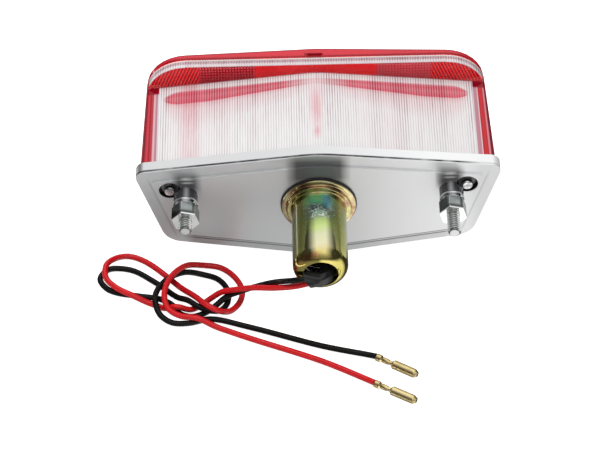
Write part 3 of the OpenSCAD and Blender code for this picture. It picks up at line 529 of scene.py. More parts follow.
def makeRedPlastic():
    # clear red moulding; the back of its front carries slanted prisms at the ends and fine dots beside them
    material, tree, x, y, z, across = paintedMaterial("redPlastic")
    patches, fine = addMottle(tree, 80, 700)
    colour = mixed(patches, (0.74, 0.030, 0.045), (0.66, 0.024, 0.036))
    slant = combined("ADD", across, product(z, 0.39))
    prisms = mixed(mapped(waveOf(slant, 1.17), 0.3, 0.7), (0.40, 0.0, 0.006), (1.0, 0.035, 0.04))
    dots = mapped(product(waveOf(x, 1.05), waveOf(z, 1.3)), 0.2, 0.6)
    dots = product(dots, graded(z, 43, 50, 0.2, 1))
    dotted = mixed(dots, (0.38, 0.0, 0.008), (0.95, 0.09, 0.12))
    dotted = mixed(graded(x, 20, 22, 0, 0.35), dotted, (0.90, 0.12, 0.15))
    plain = mixed(patches, (1.0, 0.020, 0.026), (0.88, 0.010, 0.016))
    inside = mixed(between(across, 21.6, 41.2, 0.5), plain, dotted)
    inside = mixed(between(across, 41.2, 70, 0.3), inside, prisms)
    back = area((y, 36.9, 37.5, 0.05), (z, 38, 60, 0.5))
    # what the side walls show from above, painted light and shade: the seam with the window, their inner face pink
    # where light comes through, and their dark outer edge, the left and right walls painted differently as they are
    # lit
    seamX = lens["windowHalf"] * mm
    outer = difference(graded(y, lens["foot"], 37.2, 61 * mm, 60 * mm), seamX)
    share = combined("DIVIDE", difference(across, seamX), outer)
    left = ramped(share, [
        (0.0, (0.90, 0.84, 0.85)), (0.06, (0.86, 0.80, 0.82)), (0.10, (0.55, 0.24, 0.32)), (0.21, (0.58, 0.25, 0.33)),
        (0.27, (0.86, 0.52, 0.56)), (0.35, (0.84, 0.46, 0.50)), (0.40, (0.52, 0.04, 0.06)),
        (0.52, (0.50, 0.03, 0.045)), (0.57, (0.36, 0.0, 0.01)), (0.62, (0.38, 0.0, 0.012)),
        (0.66, (0.74, 0.04, 0.07)), (0.80, (0.62, 0.015, 0.03)), (0.86, (0.20, 0.03, 0.045)),
        (1.0, (0.16, 0.05, 0.06))])
    right = ramped(share, [
        (0.0, (0.80, 0.60, 0.62)), (0.05, (0.60, 0.28, 0.34)), (0.27, (0.60, 0.24, 0.31)), (0.30, (0.88, 0.70, 0.72)),
        (0.335, (0.88, 0.66, 0.68)), (0.37, (0.50, 0.0, 0.012)), (0.5, (0.68, 0.014, 0.03)),
        (0.70, (0.60, 0.008, 0.016)), (0.76, (0.80, 0.34, 0.38)), (0.81, (0.72, 0.22, 0.26)),
        (0.87, (0.22, 0.02, 0.04)), (1.0, (0.12, 0.02, 0.03))])
    walls = mixed(graded(x, -1, 1), left, right)
    # a painted shadow under the ends of the clear shelf
    walls = mixed(between(y, 30.4, 34, 0.4), walls, (0.30, 0.0, 0.012))
    wall = product(area((across, 55.4, 70, 0.02), (z, 42.3, 50, 0.3)), graded(y, 33.4, 33.6, 1, 0))
    colour = mixed(wall, colour, walls)
    # the rim on top: brighter, a painted sheen where it faces the light; dark where it meets the shelf and along its
    # far edge, black at the locating mark
    rim = product(graded(across, 52, 56, 1, 0), graded(z, 42, 43))
    colour = mixed(product(between(y, 38.6, 41.8, 0.3), rim), colour, (0.90, 0.048, 0.078))
    colour = mixed(product(between(y, 37.5, 38.35, 0.12), rim, 0.85), colour, (0.36, 0.0, 0.012))
    ridge = difference(y, graded(across, 0, 60, 41.9 * mm, 39.4 * mm))
    ridge = product(graded(ridge, -0.6, -0.3, 0, 0.7), graded(z, 43, 44))
    colour = mixed(ridge, colour, (0.20, 0.03, 0.05))
    mark = product(area((x, -3.8, 2.4, 0.3), (y, 37.5, 39.8, 0.15)), 0.9)
    colour = mixed(mark, colour, (0.34, 0.0, 0.01))
    colour = mixed(back, colour, inside)
    # the back of the front glows faintly: painted light for the light that comes through the lens
    return finished(material, colour, mapped(fine, 0, 1, 0.05, 0.11), (patches, 0.05, 0.1), IOR=1.45,
                    Emission_Color=colour, Emission_Strength=product(back, 0.32),
                    Transmission_Weight=mapped(highest(back, wall), 0, 1, 0.3, 0.08),
                    Specular_IOR_Level=mapped(back, 0, 1, 0.4, 0.15))


def makeStudSteel():
    # bright threads, with painted shade down in their roots
    material, tree, _, y, z, across = paintedMaterial("studSteel")
    patches, fine = addMottle(tree, 260, 1500)
    far = distanceFrom(across, z, stud["x"], stud["z"])
    colour = mixed(patches, (0.78, 0.79, 0.78), (0.64, 0.66, 0.65))
    rootShade = product(between(far, 1.6, 1.95, 0.15), graded(y, stud["seat"] - 0.1, stud["seat"] + 0.1, 0.9, 0))
    colour = mixed(rootShade, colour, (0.05, 0.055, 0.055))
    return finished(material, colour, mapped(patches, 0, 1, 0.22, 0.32), (fine, 0.06, 0.04), Metallic=0.75)


def makeNutZinc():
    # zinc-plated nuts, with painted light and shade: the middle flat grey, the side flats nearly black, the corners
    # and the free end bright
    material, tree, x, y, _, _ = paintedMaterial("zincSteel")
    patches, fine = addMottle(tree, 260, 1500)
    off = difference(x, graded(x, -1, 1, -stud["x"] * mm, stud["x"] * mm))
    flat = mixed(patches, (0.40, 0.43, 0.42), (0.24, 0.27, 0.26))
    # painted shade on the side flats and in a band near the free end
    dark = highest(graded(off, -2.0, -1.7, 0.9, 0), graded(off, 2.3, 2.6, 0, 0.8), between(y, -21.2, -20.2, 0.5))
    flat = mixed(dark, flat, (0.06, 0.07, 0.066))
    # a painted reflection: the free end bright
    colour = mixed(graded(y, -21.5, -21.3, 1, 0), flat, (0.90, 0.91, 0.90))
    # bright corners: a painted highlight, with wear
    colour = wornAndHighlightedEdges(colour, 1.0, 0.98)
    return finished(material, colour, mapped(patches, 0, 1, 0.1, 0.2), (fine, 0.06, 0.04), Metallic=1)


def makeShelfEdge():
    # the shelf's ribbed edge, cloudy: a grey row beside the red front and a white one beside the window
    material, tree, x, y, _, _ = paintedMaterial("shelfEdgePlastic")
    uneven, fine = addMottle(tree, 300, 1500, (1, 0.2, 0.2))
    teeth = product(waveOf(x, lens["ribPitch"]), mapped(uneven, 0, 1, 0.4, 1))
    grey = mixed(mapped(teeth, 0.1, 0.9), (0.70, 0.50, 0.53), (0.28, 0.16, 0.20))
    white = mixed(mapped(teeth, 0.2, 0.9), (1.0, 0.94, 0.95), (0.72, 0.56, 0.62))
    colour = mixed(between(y, 35.2, 36.6, 0.35), white, grey)
    colour = mixed(graded(y, 36.7, 36.8), colour, (0.97, 0.90, 0.86))
    colour = mixed(mapped(fine, 0.4, 1, 0, 0.35), colour, (0.93, 0.80, 0.82))
    colour = mixed(graded(y, 33.7, 33.9, 0.55, 0), colour, (0.42, 0.02, 0.05))
    return finished(material, colour, mapped(fine, 0, 1, 0.1, 0.2), (teeth, 0.2, 0.1), Transmission_Weight=0.15,
                    IOR=1.4)


castAlloy = makeCastAlloy()
passivated = makePassivated()
redPlastic = makeRedPlastic()
clearShelf = makeClear("clearShelfPlastic", (0.98, 0.94, 0.94), 0.99, 0.02, 120, 0.03, 1.25)
shelfEdge = makeShelfEdge()
scatterWhiteWindow = makeReeded()
bulbGlass = makeClear("bulbGlass", (0.98, 0.99, 1.0), 1.0, 0.01, 60, 0.02)
zincSteel = makeNutZinc()
studSteel = makeStudSteel()
# the washers' bright edges are a painted highlight, with wear
washerSteel = makeSurface("washerSteel", (0.86, 0.87, 0.88), (0.65, 0.66, 0.67), (0.12, 0.22), 1, 300, 1500, 0.1,
                          0.04, wearAndHighlight=0.98, wearAndHighlightAmount=1.0)
screwSteel = makeSurface("screwSteel", 0.95, (0.25, 0.25, 0.26), (0.12, 0.3), 1, 520, 1600, 0.3, 0.1)
plateSteel = makeSurface("platedSteel", (0.76, 0.74, 0.66), (0.60, 0.58, 0.50), (0.2, 0.3), 1, 160, 1200, 0.06, 0.04)
springSteel = makeSurface("springSteel", (0.60, 0.60, 0.62), (0.44, 0.44, 0.46), (0.22, 0.32), 1, 260, 1500, 0.06,
                          0.03)
# the terminals' pale edges are wear and a painted highlight
brass = makeSurface("brass", (0.96, 0.80, 0.42), (0.78, 0.60, 0.26), (0.2, 0.36), 1, 260, 1500, 0.08, 0.04,
                    wearAndHighlight=(1.0, 0.94, 0.70))
capBrass = makeSurface("capBrass", (0.76, 0.62, 0.34), (0.62, 0.48, 0.24), (0.24, 0.36), 1, 200, 1200, 0.06, 0.03)
solder = makeSurface("solder", (0.68, 0.69, 0.70), (0.52, 0.53, 0.55), (0.3, 0.45), 0.9, 500, 1600, 0.12, 0.06)
filamentMetal = makeSurface("filamentMetal", 0.5, 0.36, (0.3, 0.4), 1, 600, 2000, 0.05, 0.02)
fibre = makeSurface("brownFibre", (0.24, 0.11, 0.05), (0.15, 0.06, 0.03), (0.55, 0.7), 0, 300, 1600, 0.2, 0.05)
sealRubber = makeSurface("sealRubber", 0.03, 0.018, (0.6, 0.75), 0, 200, 1500, 0.2, 0.05)
gasketRubber = makeSurface("gasketRubber", 0.02, 0.012, (0.5, 0.7), 0, 200, 1500, 0.2, 0.05)
redSkin = makeSurface("redInsulation", (0.78, 0.008, 0.014), (0.64, 0.004, 0.008), (0.24, 0.34), 0, 200, 1300, 0.07,
                      0.05, Coat_Weight=0.15, Coat_Roughness=0.12)
blackSkin = makeSurface("blackInsulation", 0.010, 0.006, (0.2, 0.32), 0, 200, 1300, 0.07, 0.05,
                        Specular_IOR_Level=0.2)
sleeveSkin = makeSurface("blackSleeve", 0.018, 0.009, (0.22, 0.4), 0, 160, 900, 0.25, 0.12, Specular_IOR_Level=0.5)
print("materials made:", len(bpy.data.materials))


# --- wires, along the routes of part.scad ---

wires = {
    "diameter": 2.1,
    "roundness": 5,
    # points below a height are raised by a share that is full where they lie another stretch lower
    "lift": 0.16,
    "liftBelow": 12,
    "liftOver": 7,
    "red": [(-1.5, -42.7, 24.85), (-8.5, -42.4, 22.2), (-16, -38.5, 17), (-23.5, -33.6, 11.5), (-30, -31, 7),
            (-34.5, -30, 4.8), (-38.5, -30.5, 2.4), (-42, -32.3, 1.1), (-45.6, -34.3, 1.3), (-50.3, -34.6, 3.1),
            (-54.6, -33.2, 1.1), (-60, -30.6, 0.95), (-66, -28.5, 2.7), (-72, -24.8, 3), (-75.5, -20, 2.8),
            (-75.5, -14.5, 3), (-72.5, -10, 1.6), (-68, -8.5, 0.95), (-61.5, -11.5, 0.95), (-49.5, -23.5, 1),
            (-44, -30.5, 3.6), (-40, -35.8, 5.1), (-36.3, -37.4, 4), (-32, -35.5, 1.3), (-28.6, -31.5, 0.95),
            (-27.5, -26, 0.95), (-29.8, -20, 0.95), (-35, -15, 0.95), (-41.5, -14.2, 1.6), (-47.5, -17.6, 4.8),
            (-52.5, -23, 5.1), (-54.6, -29.5, 4.3), (-53.3, -35.5, 3.4), (-49, -38.6, 2.9), (-43, -39.9, 3),
            (-36.5, -42.2, 1.1), (-25, -47.5, 0.95), (0, -58.5, 0.95), (15, -67.2, 1.3), (17.5, -69, 1.65)],
    "black": [(-1.5, -42.7, 26.95), (-8.5, -43, 26), (-16, -36.2, 17.3), (-23, -31.5, 9), (-28, -30.3, 5.2),
              (-33, -30.6, 3.1), (-37.5, -33.4, 1.2), (-41.3, -36.1, 0.95), (-45.4, -37.2, 0.95),
              (-49.5, -35.5, 0.95), (-51.8, -31.8, 0.95), (-56.5, -28.8, 0.95), (-64, -27.2, 0.95),
              (-71.5, -25.5, 0.95), (-75.2, -23.4, 0.95), (-77.7, -18.9, 0.95), (-74.9, -14.6, 0.95),
              (-67, -15, 0.95), (-58.5, -20.8, 0.95), (-50.5, -28.5, 1.5), (-46.4, -32.1, 3.4),
              (-42.2, -35.2, 3.2), (-38, -36.4, 2.6), (-34.8, -34.8, 1.3), (-32.6, -30.8, 0.95),
              (-32.8, -25, 0.95), (-36, -20.3, 0.95), (-41.5, -18, 1.1), (-47.5, -18.5, 2.8),
              (-53, -21.3, 3.2), (-56.7, -25.8, 3.2), (-57.9, -31, 3.3), (-56.3, -36.5, 1.8), (-52, -39.7, 0.95),
              (-46, -40.1, 0.95), (-38.5, -38.5, 0.95), (-25, -42.5, 0.95), (0, -51.7, 0.95),
              (15.5, -56.3, 1.3), (18.5, -57.5, 1.65)],
}


def smoothRoute(points, steps=6):
    # one smooth line through all the points, with knots spaced by the square root of each chord
    route = [Vector(p) for p in points]
    route = [2 * route[0] - route[1]] + route + [2 * route[-1] - route[-2]]
    line = []
    for i in range(1, len(route) - 2):
        p0, p1, p2, p3 = route[i - 1:i + 3]
        t1 = (p1 - p0).length ** 0.5
        t2 = t1 + (p2 - p1).length ** 0.5
        t3 = t2 + (p3 - p2).length ** 0.5
        for k in range(steps):
            t = t1 + (t2 - t1) * k / steps
            a1 = p0 * ((t1 - t) / t1) + p1 * (t / t1)
            a2 = p1 * ((t2 - t) / (t2 - t1)) + p2 * ((t - t1) / (t2 - t1))
            a3 = p2 * ((t3 - t) / (t3 - t2)) + p3 * ((t - t2) / (t3 - t2))
            b1 = a1 * ((t2 - t) / t2) + a2 * (t / t2)
            b2 = a2 * ((t3 - t) / (t3 - t1)) + a3 * ((t - t1) / (t3 - t1))
            line.append(b1 * ((t2 - t) / (t2 - t1)) + b2 * ((t - t1) / (t2 - t1)))
    return line + [route[-2]]


def lineLength(line):
    return sum((b - a).length for a, b in zip(line, line[1:]))


def addWire(name, points, material, nodeName):
    lowest = wires["diameter"] / 2
    shares = [min(max((wires["liftBelow"] - z) / wires["liftOver"], 0), 1) for x, y, z in points]
    raised = [Vector((x, y, z * (1 + wires["lift"] * share))) for (x, y, z), share in zip(points, shares)]
    line = [Vector((place.x, place.y, max(place.z, lowest))) for place in smoothRoute(raised)]
    curve = bpy.data.curves.new(name, "CURVE")
    curve.dimensions = "3D"
    curve.bevel_depth = wires["diameter"] / 2 * mm
    curve.bevel_resolution = wires["roundness"]
    curve.use_fill_caps = True
    spline = curve.splines.new("POLY")
    spline.points.add(len(line) - 1)
    for point, place in zip(spline.points, line):
        point.co = (*(place * mm), 1)
    spline.use_smooth = True
    only(newObject(name, curve))
    bpy.ops.object.convert(target="MESH")
    piece = bpy.context.object
    edited(piece, merge)
    bpy.ops.object.shade_smooth_by_angle(angle=math.radians(50))
    settle(piece, "base", material, nodeName)
    print(name, "is", round(lineLength(line), 1), "mm long")
    return piece, [place * mm for place in line]


redWire, redLine = addWire("redWire", wires["red"], redSkin, "wire_red")
blackWire, blackLine = addWire("blackWire", wires["black"], blackSkin, "wire_black")


# --- bullet terminals ---

bullet = {"claw": 2.2, "clawRadius": 1.3, "crimp": 5, "crimpRadius": 1.0, "neck": 0.75, "neckEnd": 6.6,
          "barrel": 8.4, "radius": 1.6, "nose": 1.0, "noseRadius": 0.95, "redTurn": -30, "blackTurn": -31,
          "sides": 40}


def addBullet(name, start, turn, nodeName):
    # the claw on the insulation, the crimp on the core, the neck and the barrel, each step with its edge broken
    b = bullet
    claw, crimp, radius, nose = b["clawRadius"], b["crimpRadius"], b["radius"], b["noseRadius"]
    end = b["neckEnd"] + b["barrel"]
    piece = spun(name, [
        (0, 0), (claw - 0.2, 0), (claw, 0.25), (claw, b["claw"] - 0.3), (claw - 0.2, b["claw"]),
        (crimp - 0.12, b["claw"] + 0.25), (crimp, b["claw"] + 0.6), (crimp, b["crimp"] - 0.4),
        (crimp - 0.15, b["crimp"]), (b["neck"], b["crimp"] + 0.3), (b["neck"], b["neckEnd"] - 0.5),
        (radius - 0.35, b["neckEnd"] - 0.15), (radius, b["neckEnd"] + 0.25), (radius, end - 0.4),
        (radius - 0.12, end), (nose + 0.1, end + b["nose"] * 0.8), (nose, end + b["nose"]), (0, end + b["nose"])],
        b["sides"])
    placed(piece, start, Matrix.Rotation(math.radians(turn), 4, "Z") @ Matrix.Rotation(math.pi / 2, 4, "Y"))
    smoothed(piece, 30)
    settle(piece, "base", brass, nodeName)
    return piece


redBullet = addBullet("redBullet", wires["red"][-1], bullet["redTurn"], "bullet_red")
blackBullet = addBullet("blackBullet", wires["black"][-1], bullet["blackTurn"], "bullet_black")
print("wires and bullets made")


# --- casting, seal and gasket ---

for entry in (("base_casting", "castBase", "base", castAlloy, "cast_alloy", 0.35),
              ("lens_seal", "lensSeal", "base", sealRubber, "seal_rubber", 0.15),
              ("holder_gasket", "holderGasket", "base", gasketRubber, "seal_rubber", 0.2),
              ("bayonet_barrel", "bayonetBarrel", "base", plateSteel, "plated_steel", 0.12)):
    dressed(*entry)
print("casting made")


# --- sleeve in the holder's mouth ---

sleeve = {"x": 2.4, "z": 25.9, "turn": -38.3, "bend": 4.5, "end": -4.3, "radius": 2.75, "wall": 0.4, "deep": 1.0,
          "slant": 1.7, "sides": 60, "steps": 12, "bendStep": 6, "endSteps": 6, "deepSteps": 4,
          "creases": ((0.16, 3, 0.7), (0.09, 7, -1.3))}


def sleevePath():
    # from inside the holder straight out along Y, then a quarter bend towards -X
    w = sleeve
    back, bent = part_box("wire_sleeve")[1][1] / mm, w["x"] - w["bend"]
    path = [(w["x"], back + (w["turn"] - back) * i / w["steps"]) for i in range(w["steps"])]
    for turn in range(0, 90, w["bendStep"]):
        angle = math.radians(turn)
        path.append((bent + w["bend"] * math.cos(angle), w["turn"] - w["bend"] * math.sin(angle)))
    return path + [(bent + (w["end"] - bent) * i / w["endSteps"], w["turn"] - w["bend"])
                   for i in range(w["endSteps"] + 1)]


def addSleeve():
    # a soft tube, creased along a slow twist, open at the end where the wires come out
    w, path = sleeve, sleevePath()
    sides, last = w["sides"], len(path) - 1
    bent, (endX, endY) = w["x"] - w["bend"], path[-1]
    inward = [(endX + w["deep"] * i / w["deepSteps"], endY) for i in range(w["deepSteps"] + 1)]
    points, length = [], 0
    for i, (x, y) in enumerate(path + inward):
        hollow, at = i > last, min(i, last)
        before, after = path[max(at - 1, 0)], path[min(at + 1, last)]
        along = Vector((after[0] - before[0], after[1] - before[1], 0)).normalized()
        side = Vector((-along.y, along.x, 0))
        length += 0 if hollow or i == 0 else math.dist(path[i], path[i - 1])
        # the open end is cut at a slant, so its upper lip reaches further along the wires
        slant = w["slant"] * (1 if hollow else min(max((bent - x) / (bent - w["end"]), 0), 1))
        for k in range(sides):
            angle = math.tau * k / sides
            crease = sum(size * math.sin(folds * angle + twist * length) for size, folds, twist in w["creases"])
            radius = w["radius"] + crease - (w["wall"] if hollow else 0)
            outward = side * math.cos(angle) + Vector((0, 0, math.sin(angle)))
            points.append(Vector((x - slant * math.sin(angle), y, w["z"])) + outward * radius)
    rings = len(points) // sides
    faces = [(r * sides + k, r * sides + (k + 1) % sides, (r + 1) * sides + (k + 1) % sides, (r + 1) * sides + k)
             for r in range(rings - 1) for k in range(sides)]
    faces += [tuple(range(sides)), tuple(range(len(points) - sides, len(points)))]
    piece = newPiece("wireSleeve", points, [], faces)
    edited(piece, faceOut)
    smoothed(piece, 50)
    settle(piece, "base", sleeveSkin, "wire_sleeve")


addSleeve()
print("sleeve made")


# --- lens ---

roof = {"half": 63.8, "eaves": 43.8, "peak": 51.0, "radius": 50}


def roofAt(x, inset):
    # height of the casting's roof, moved in: two slopes with an arc between them
    slope = math.atan((roof["peak"] - roof["eaves"]) / roof["half"])
    radius = roof["radius"] - inset
    if abs(x) > radius * math.sin(slope):
        return roof["peak"] - inset / math.cos(slope) - abs(x) * math.tan(slope)
    return roof["peak"] - roof["radius"] / math.cos(slope) + math.sqrt(radius * radius - x * x)


def strip(name, upper, lower, startY, endY):
    # two rows of (x, z) points joined by faces and drawn out along Y into a solid
    count = len(upper)
    piece = newPiece(name, [(x, startY, z) for x, z in upper + lower], [],
                     [(i, i + 1, count + i + 1, count + i) for i in range(count - 1)])
    drawn = {"TRANSFORM_OT_translate": {"value": (0, (endY - startY) * mm, 0)}}
    edited(piece, (meshTools.extrude_region_move, drawn), faceOut)
    return piece


def addClearWindow():
    # the reeded roof of the lamp
    w = lens
    half, steps, waveSteps = w["windowHalf"], w["cornerSteps"], w["waveSteps"]
    reeds = int(2 * half / w["reed"])
    upper, lower = [], []
    for i in range(reeds * waveSteps + 1):
        x = -half + 2 * half * i / (reeds * waveSteps)
        bulge = abs(math.sin(math.pi * i / waveSteps))
        upper.append((x, roofAt(x, w["inset"])))
        lower.append((x, roofAt(x, w["inset"] + w["wall"] - w["reedDepth"] * (1 - bulge))))
    window = strip("windowRoof", upper, lower, w["foot"], w["shelf"] + w["overlap"])
    # the shelf round its outer end, with fine ribs along its upper edge
    straight, radius = w["capHalf"] - w["capRadius"], w["capRadius"]
    ribs = int(2 * straight / w["ribPitch"])
    inner = w["inset"] + w["wall"] + w["gap"]
    start = math.acos(1 - (w["capTop"] - w["shelfFoot"]) / radius)
    turns = [start * (1 - i / steps) for i in range(steps)]
    corner = [(straight + radius * math.sin(turn), w["capTop"] - radius * (1 - math.cos(turn))) for turn in turns]
    innerEnd = corner[0][0] - w["overlap"]
    innerCorner = [(x, max(roofAt(x, inner), w["shelfFoot"]))
                   for x in (innerEnd - i * (innerEnd - straight) / steps for i in range(steps))]
    outside, inside = [(-x, z) for x, z in corner], [(-x, z) for x, z in innerCorner]
    for i in range(ribs * waveSteps + 1):
        x = -straight + 2 * straight * i / (ribs * waveSteps)
        outside.append((x, w["capTop"] + w["ribHeight"] * abs(math.sin(math.pi * i / waveSteps))))
        inside.append((x, roofAt(x, inner)))
    outside += reversed(corner)
    inside += reversed(innerCorner)
    piece = strip("clearWindow", outside, inside, w["shelf"], w["shelfEnd"])
    addModifier(piece, "BOOLEAN", operation="UNION", object=window, solver="EXACT")
    bpy.data.objects.remove(window)
    edited(piece, (meshTools.remove_doubles, {"threshold": 0.002 * mm}))
    settle(piece, "lens", clearShelf, "clear_window")
    piece.data.materials.append(scatterWhiteWindow)
    piece.data.materials.append(shelfEdge)
    # painted white for scattered light up to the shelf, a finish of its own along the shelf's upper edge, and clear
    # elsewhere
    for face in piece.data.polygons:
        if face.center.y < (w["shelf"] - 0.05) * mm:
            face.material_index = 1
        elif abs(face.normal.y) < 0.5 and face.center.z > (roofAt(face.center.x / mm, 0) - 0.5) * mm:
            face.material_index = 2
    smoothed(piece, 25)


dressed("red_lens", "redLens", "lens", redPlastic, "red_plastic", lens["bevel"], 30)
addClearWindow()
print("lens made")


# --- studs, nuts, washers and screws ---

def addStud(side, end, name, nodeName):
    # a thread profile of one pitch, screwed up and cut off square at both ends
    s = stud
    length = s["start"] - end
    turns = int(length / s["pitch"]) + 2
    piece = profileObject(name, [(s["root"], 0), (s["root"] + 0.02, 0.1), (s["radius"], 0.42), (s["radius"], 0.58),
                                 (s["root"] + 0.02, 0.9), (s["root"], s["pitch"])])
    addModifier(piece, "SCREW", angle=math.tau, screw_offset=s["pitch"] * mm, iterations=turns, steps=s["sides"],
                render_steps=s["sides"], use_merge_vertices=True, merge_threshold=0.001 * mm)
    for height, keepUpper in ((s["pitch"], True), (s["pitch"] + length, False)):
        cut = {"plane_co": (0, 0, (height + s["cutOff"]) * mm), "plane_no": (0, 0, 1), "clear_inner": keepUpper,
               "clear_outer": not keepUpper}
        edited(piece, merge, (meshTools.bisect, cut))
    capped(piece)
    for vertex in piece.data.vertices:
        # chamfers the free end
        out = math.hypot(vertex.co.x, vertex.co.y)
        limit = (s["radius"] - s["chamfer"]) * mm + max(vertex.co.z - s["pitch"] * mm, 0) * s["chamferSlope"]
        if out > limit:
            vertex.co.x *= limit / out
            vertex.co.y *= limit / out
    edited(piece, faceOut)
    alongY(piece, side * s["x"], end - s["pitch"], s["z"])
    head = spun(name + "Head", [(0, 0), (s["headRadius"] - 0.2, 0), (s["headRadius"], 0.2),
                                (s["headRadius"], s["headHeight"] - 0.3), (s["headRadius"] - 0.3, s["headHeight"]),
                                (0, s["headHeight"])], s["headSides"])
    alongY(head, side * s["x"], s["seat"], s["z"])
    only(piece)
    head.select_set(True)
    bpy.ops.object.join()
    smoothed(piece, 32)
    settle(piece, "base", studSteel, nodeName)


for side, word in ((-1, "left"), (1, "right")):
    label = word.capitalize()
    addStud(side, stud["ends"][label], "mountingStud" + label, "mounting_stud_" + word)
    for nodeName, name, body, material, slotName in (
            ("mounting_nut_", "mountingNut", "nut_", zincSteel, "nut_steel"),
            ("spring_washer_", "springWasher", "nut_", washerSteel, "washer_steel"),
            ("flat_washer_", "flatWasher", "nut_", washerSteel, "washer_steel"),
            ("lens_screw_", "lensScrew", "screw_", screwSteel, "screw_steel"),
            ("screw_washer_", "screwWasher", "screw_", sealRubber, "seal_rubber")):
        dressed(nodeName + word, name + label, body + word, material, slotName, 0.12, 32)
print("fasteners made")


# --- bulb holder ---

shell = {"radius": 9.5, "wall": 0.7, "flange": 13, "flangeHeight": 0.9, "step": 11.3, "stepHeight": 1.5,
         "dome": 4.4, "mouth": 6.1, "length": 31.9, "foot": -10, "axisZ": 27.5, "edge": 0.45,
         "fillet": 0.3, "shoulder": 0.5, "sides": 128}


def addShell():
    # heights run from the flange's face on the gasket towards the mouth
    h = shell
    top = h["flangeHeight"] + h["stepHeight"]
    reach = h["mouth"] - h["radius"] + h["dome"]
    centre = h["length"] - math.sqrt(h["dome"] ** 2 - reach ** 2)
    lip = math.degrees(math.acos(reach / h["dome"]))
    inner = h["dome"] - h["wall"]
    innerLip = math.degrees(math.acos(min(1, reach / inner)))
    middle = h["radius"] - h["dome"]
    edge, fillet, shoulder = h["edge"], h["fillet"], h["shoulder"]
    profile = [(h["radius"] - h["wall"], 0), (h["flange"] - edge, 0)]
    profile += arc(h["flange"] - edge, edge, edge, -90, 90)
    profile += arc(h["step"] + fillet, h["flangeHeight"] + fillet, fillet, -90, -180, 4)
    profile += arc(h["step"] - shoulder, top - shoulder, shoulder, 0, 90)
    profile += arc(h["radius"] + edge, top + edge, edge, -90, -180, 4)
    profile += arc(middle, centre, h["dome"], 0, lip, 12)
    profile += arc(middle, centre, inner, innerLip, 0, 12)
    piece = spun("holderShell", profile, h["sides"])
    placed(piece, (0, h["foot"], h["axisZ"]), Matrix.Rotation(math.pi / 2, 4, "X"))
    smoothed(piece, 50)
    settle(piece, "base", passivated, "holder_shell")


addShell()

for entry in (("contact_disc", "contactDisc", "contact", fibre, "brown_fibre", 0.15),
              ("contact_tips", "contactTips", "contact", brass, "brass", 0.1),
              ("bulb_cap", "bulbCap", "bulb", capBrass, "bulb_brass", 0.08),
              ("bulb_pins", "bulbPins", "bulb", capBrass, "bulb_brass", 0.1),
              ("bulb_contacts", "bulbContacts", "bulb", solder, "solder", 0.1),
              ("bulb_glass", "bulbGlobe", "bulb", bulbGlass, "bulb_glass", 0),
              ("bulb_filaments", "bulbFilaments", "bulb", filamentMetal, "filament_metal", 0)):
    dressed(*entry, 35)


# --- contact spring ---

spring = {"radius": 6.7, "wire": 1.0, "turns": 5, "start": -35.95, "end": -24.35, "seat": -36.5, "push": 2,
          "wireSides": 12, "steps": 40}


def addSpring():
    bpy.ops.object.select_all(action="DESELECT")
    bpy.ops.mesh.primitive_circle_add(vertices=spring["wireSides"], radius=spring["wire"] / 2 * mm,
                                      fill_type="NOTHING", location=(spring["radius"] * mm, 0, 0),
                                      rotation=(math.pi / 2, 0, 0))
    coil = bpy.context.object
    coil.name = "contactSpring"
    bpy.ops.object.transform_apply(location=True, rotation=True, scale=True)
    rise = (spring["end"] - spring["start"]) / spring["turns"]
    addModifier(coil, "SCREW", angle=math.tau, screw_offset=rise * mm, iterations=spring["turns"],
                steps=spring["steps"], render_steps=spring["steps"], use_normal_calculate=True)
    edited(coil, merge)
    capped(coil)
    edited(coil, faceOut)
    alongY(coil, 0, spring["start"], shell["axisZ"])
    smoothed(coil, 40)
    settle(coil, "base", springSteel, "contact_spring")
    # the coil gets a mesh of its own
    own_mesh(coil)


addSpring()
print("bulb holder made")


# --- floor and light ---

light = {"key": (-150, 60, 700), "keyTarget": (0, 0, 20), "keySize": 380, "keyPower": 2.2, "world": 0.55,
         "over": 1.05, "front": 1.0, "side": 0.06, "line": 4, "lineTurn": -113, "floorGlow": 0.9}


def addLight(name, place, target, size, power):
    data = bpy.data.lights.new(name, "AREA")
    data.shape = "RECTANGLE"
    data.size = data.size_y = size * mm
    data.energy = power
    lamp = newObject(name, data)
    aim = (Vector(target) - Vector(place)).to_track_quat("-Z", "Y").to_matrix().to_4x4()
    lamp.matrix_world = Matrix.Translation(Vector(place) * mm) @ aim
    lamp.visible_camera = False
    lamp.visible_glossy = False


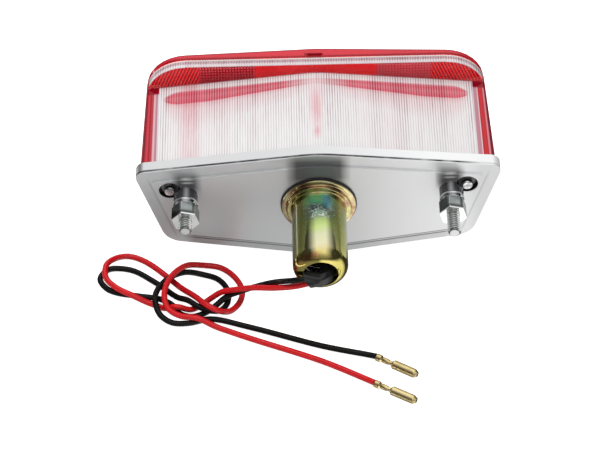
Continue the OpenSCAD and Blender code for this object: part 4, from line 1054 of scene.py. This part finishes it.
def makeStudioWorld():
    # white where the camera looks; mirrors see a white ceiling, a white table in front and dark sides
    world = bpy.data.worlds.new("studioWorld")
    bpy.context.scene.world = world
    world.use_nodes = True
    tree = world.node_tree
    path = put(tree, "ShaderNodeLightPath")
    x, y, z = axesOf(tree, "Generated")
    ceiling = combined("MINIMUM", mapped(x, -0.62, -0.2), mapped(x, 0.32, 0.74, 1, 0))
    ceiling = product(ceiling, mapped(z, 0.1, 0.5, 0.2 * light["over"], light["over"]),
                      mapped(y, -0.8, -0.3, 0.4, 1))
    table = product(mapped(y, -0.35, 0.05, light["front"], 0), mapped(z, 0.2, -0.1),
                    mapped(x, -0.06, 0.06, 0.36, 1.5))
    turn = math.radians(light["lineTurn"])
    off = combined("ADD", product(x, math.cos(turn)), product(z, -math.sin(turn)))
    line = product(mapped(combined("ABSOLUTE", off, 0), 0.012, 0.03, light["line"], 0), mapped(x, -0.6, -0.5, 1, 0))
    glossy = product(highest(ceiling, table, line, light["side"]), path.outputs["Is Glossy Ray"])
    rest = product(light["world"], path.outputs["Is Diffuse Ray"])
    strength = highest(path.outputs["Is Camera Ray"], path.outputs["Is Transmission Ray"], glossy, rest)
    background = tree.nodes["Background"]
    feed(1, background.inputs["Color"])
    feed(strength, background.inputs["Strength"])


def addStudio():
    bpy.ops.object.select_all(action="DESELECT")
    bpy.ops.mesh.primitive_plane_add(size=6, location=(0, 0, 0))
    floor = bpy.context.object
    floor.name = "studioFloor"
    material, tree = newMaterial("floorPaper")
    patches, _ = addMottle(tree, 3, 60)
    path = put(tree, "ShaderNodeLightPath")
    seen = highest(path.outputs["Is Camera Ray"], path.outputs["Is Transmission Ray"])
    finished(material, mixed(patches, 0.9, 0.88), 0.9, Specular_IOR_Level=0.1,
             Emission_Color=1, Emission_Strength=product(seen, light["floorGlow"]))
    floor.data.materials.append(material)
    floor.visible_glossy = False
    makeStudioWorld()
    addLight("keyLight", light["key"], light["keyTarget"], light["keySize"], light["keyPower"])


addStudio()
bpy.context.scene.view_settings.view_transform = "Standard"
print("studio made")
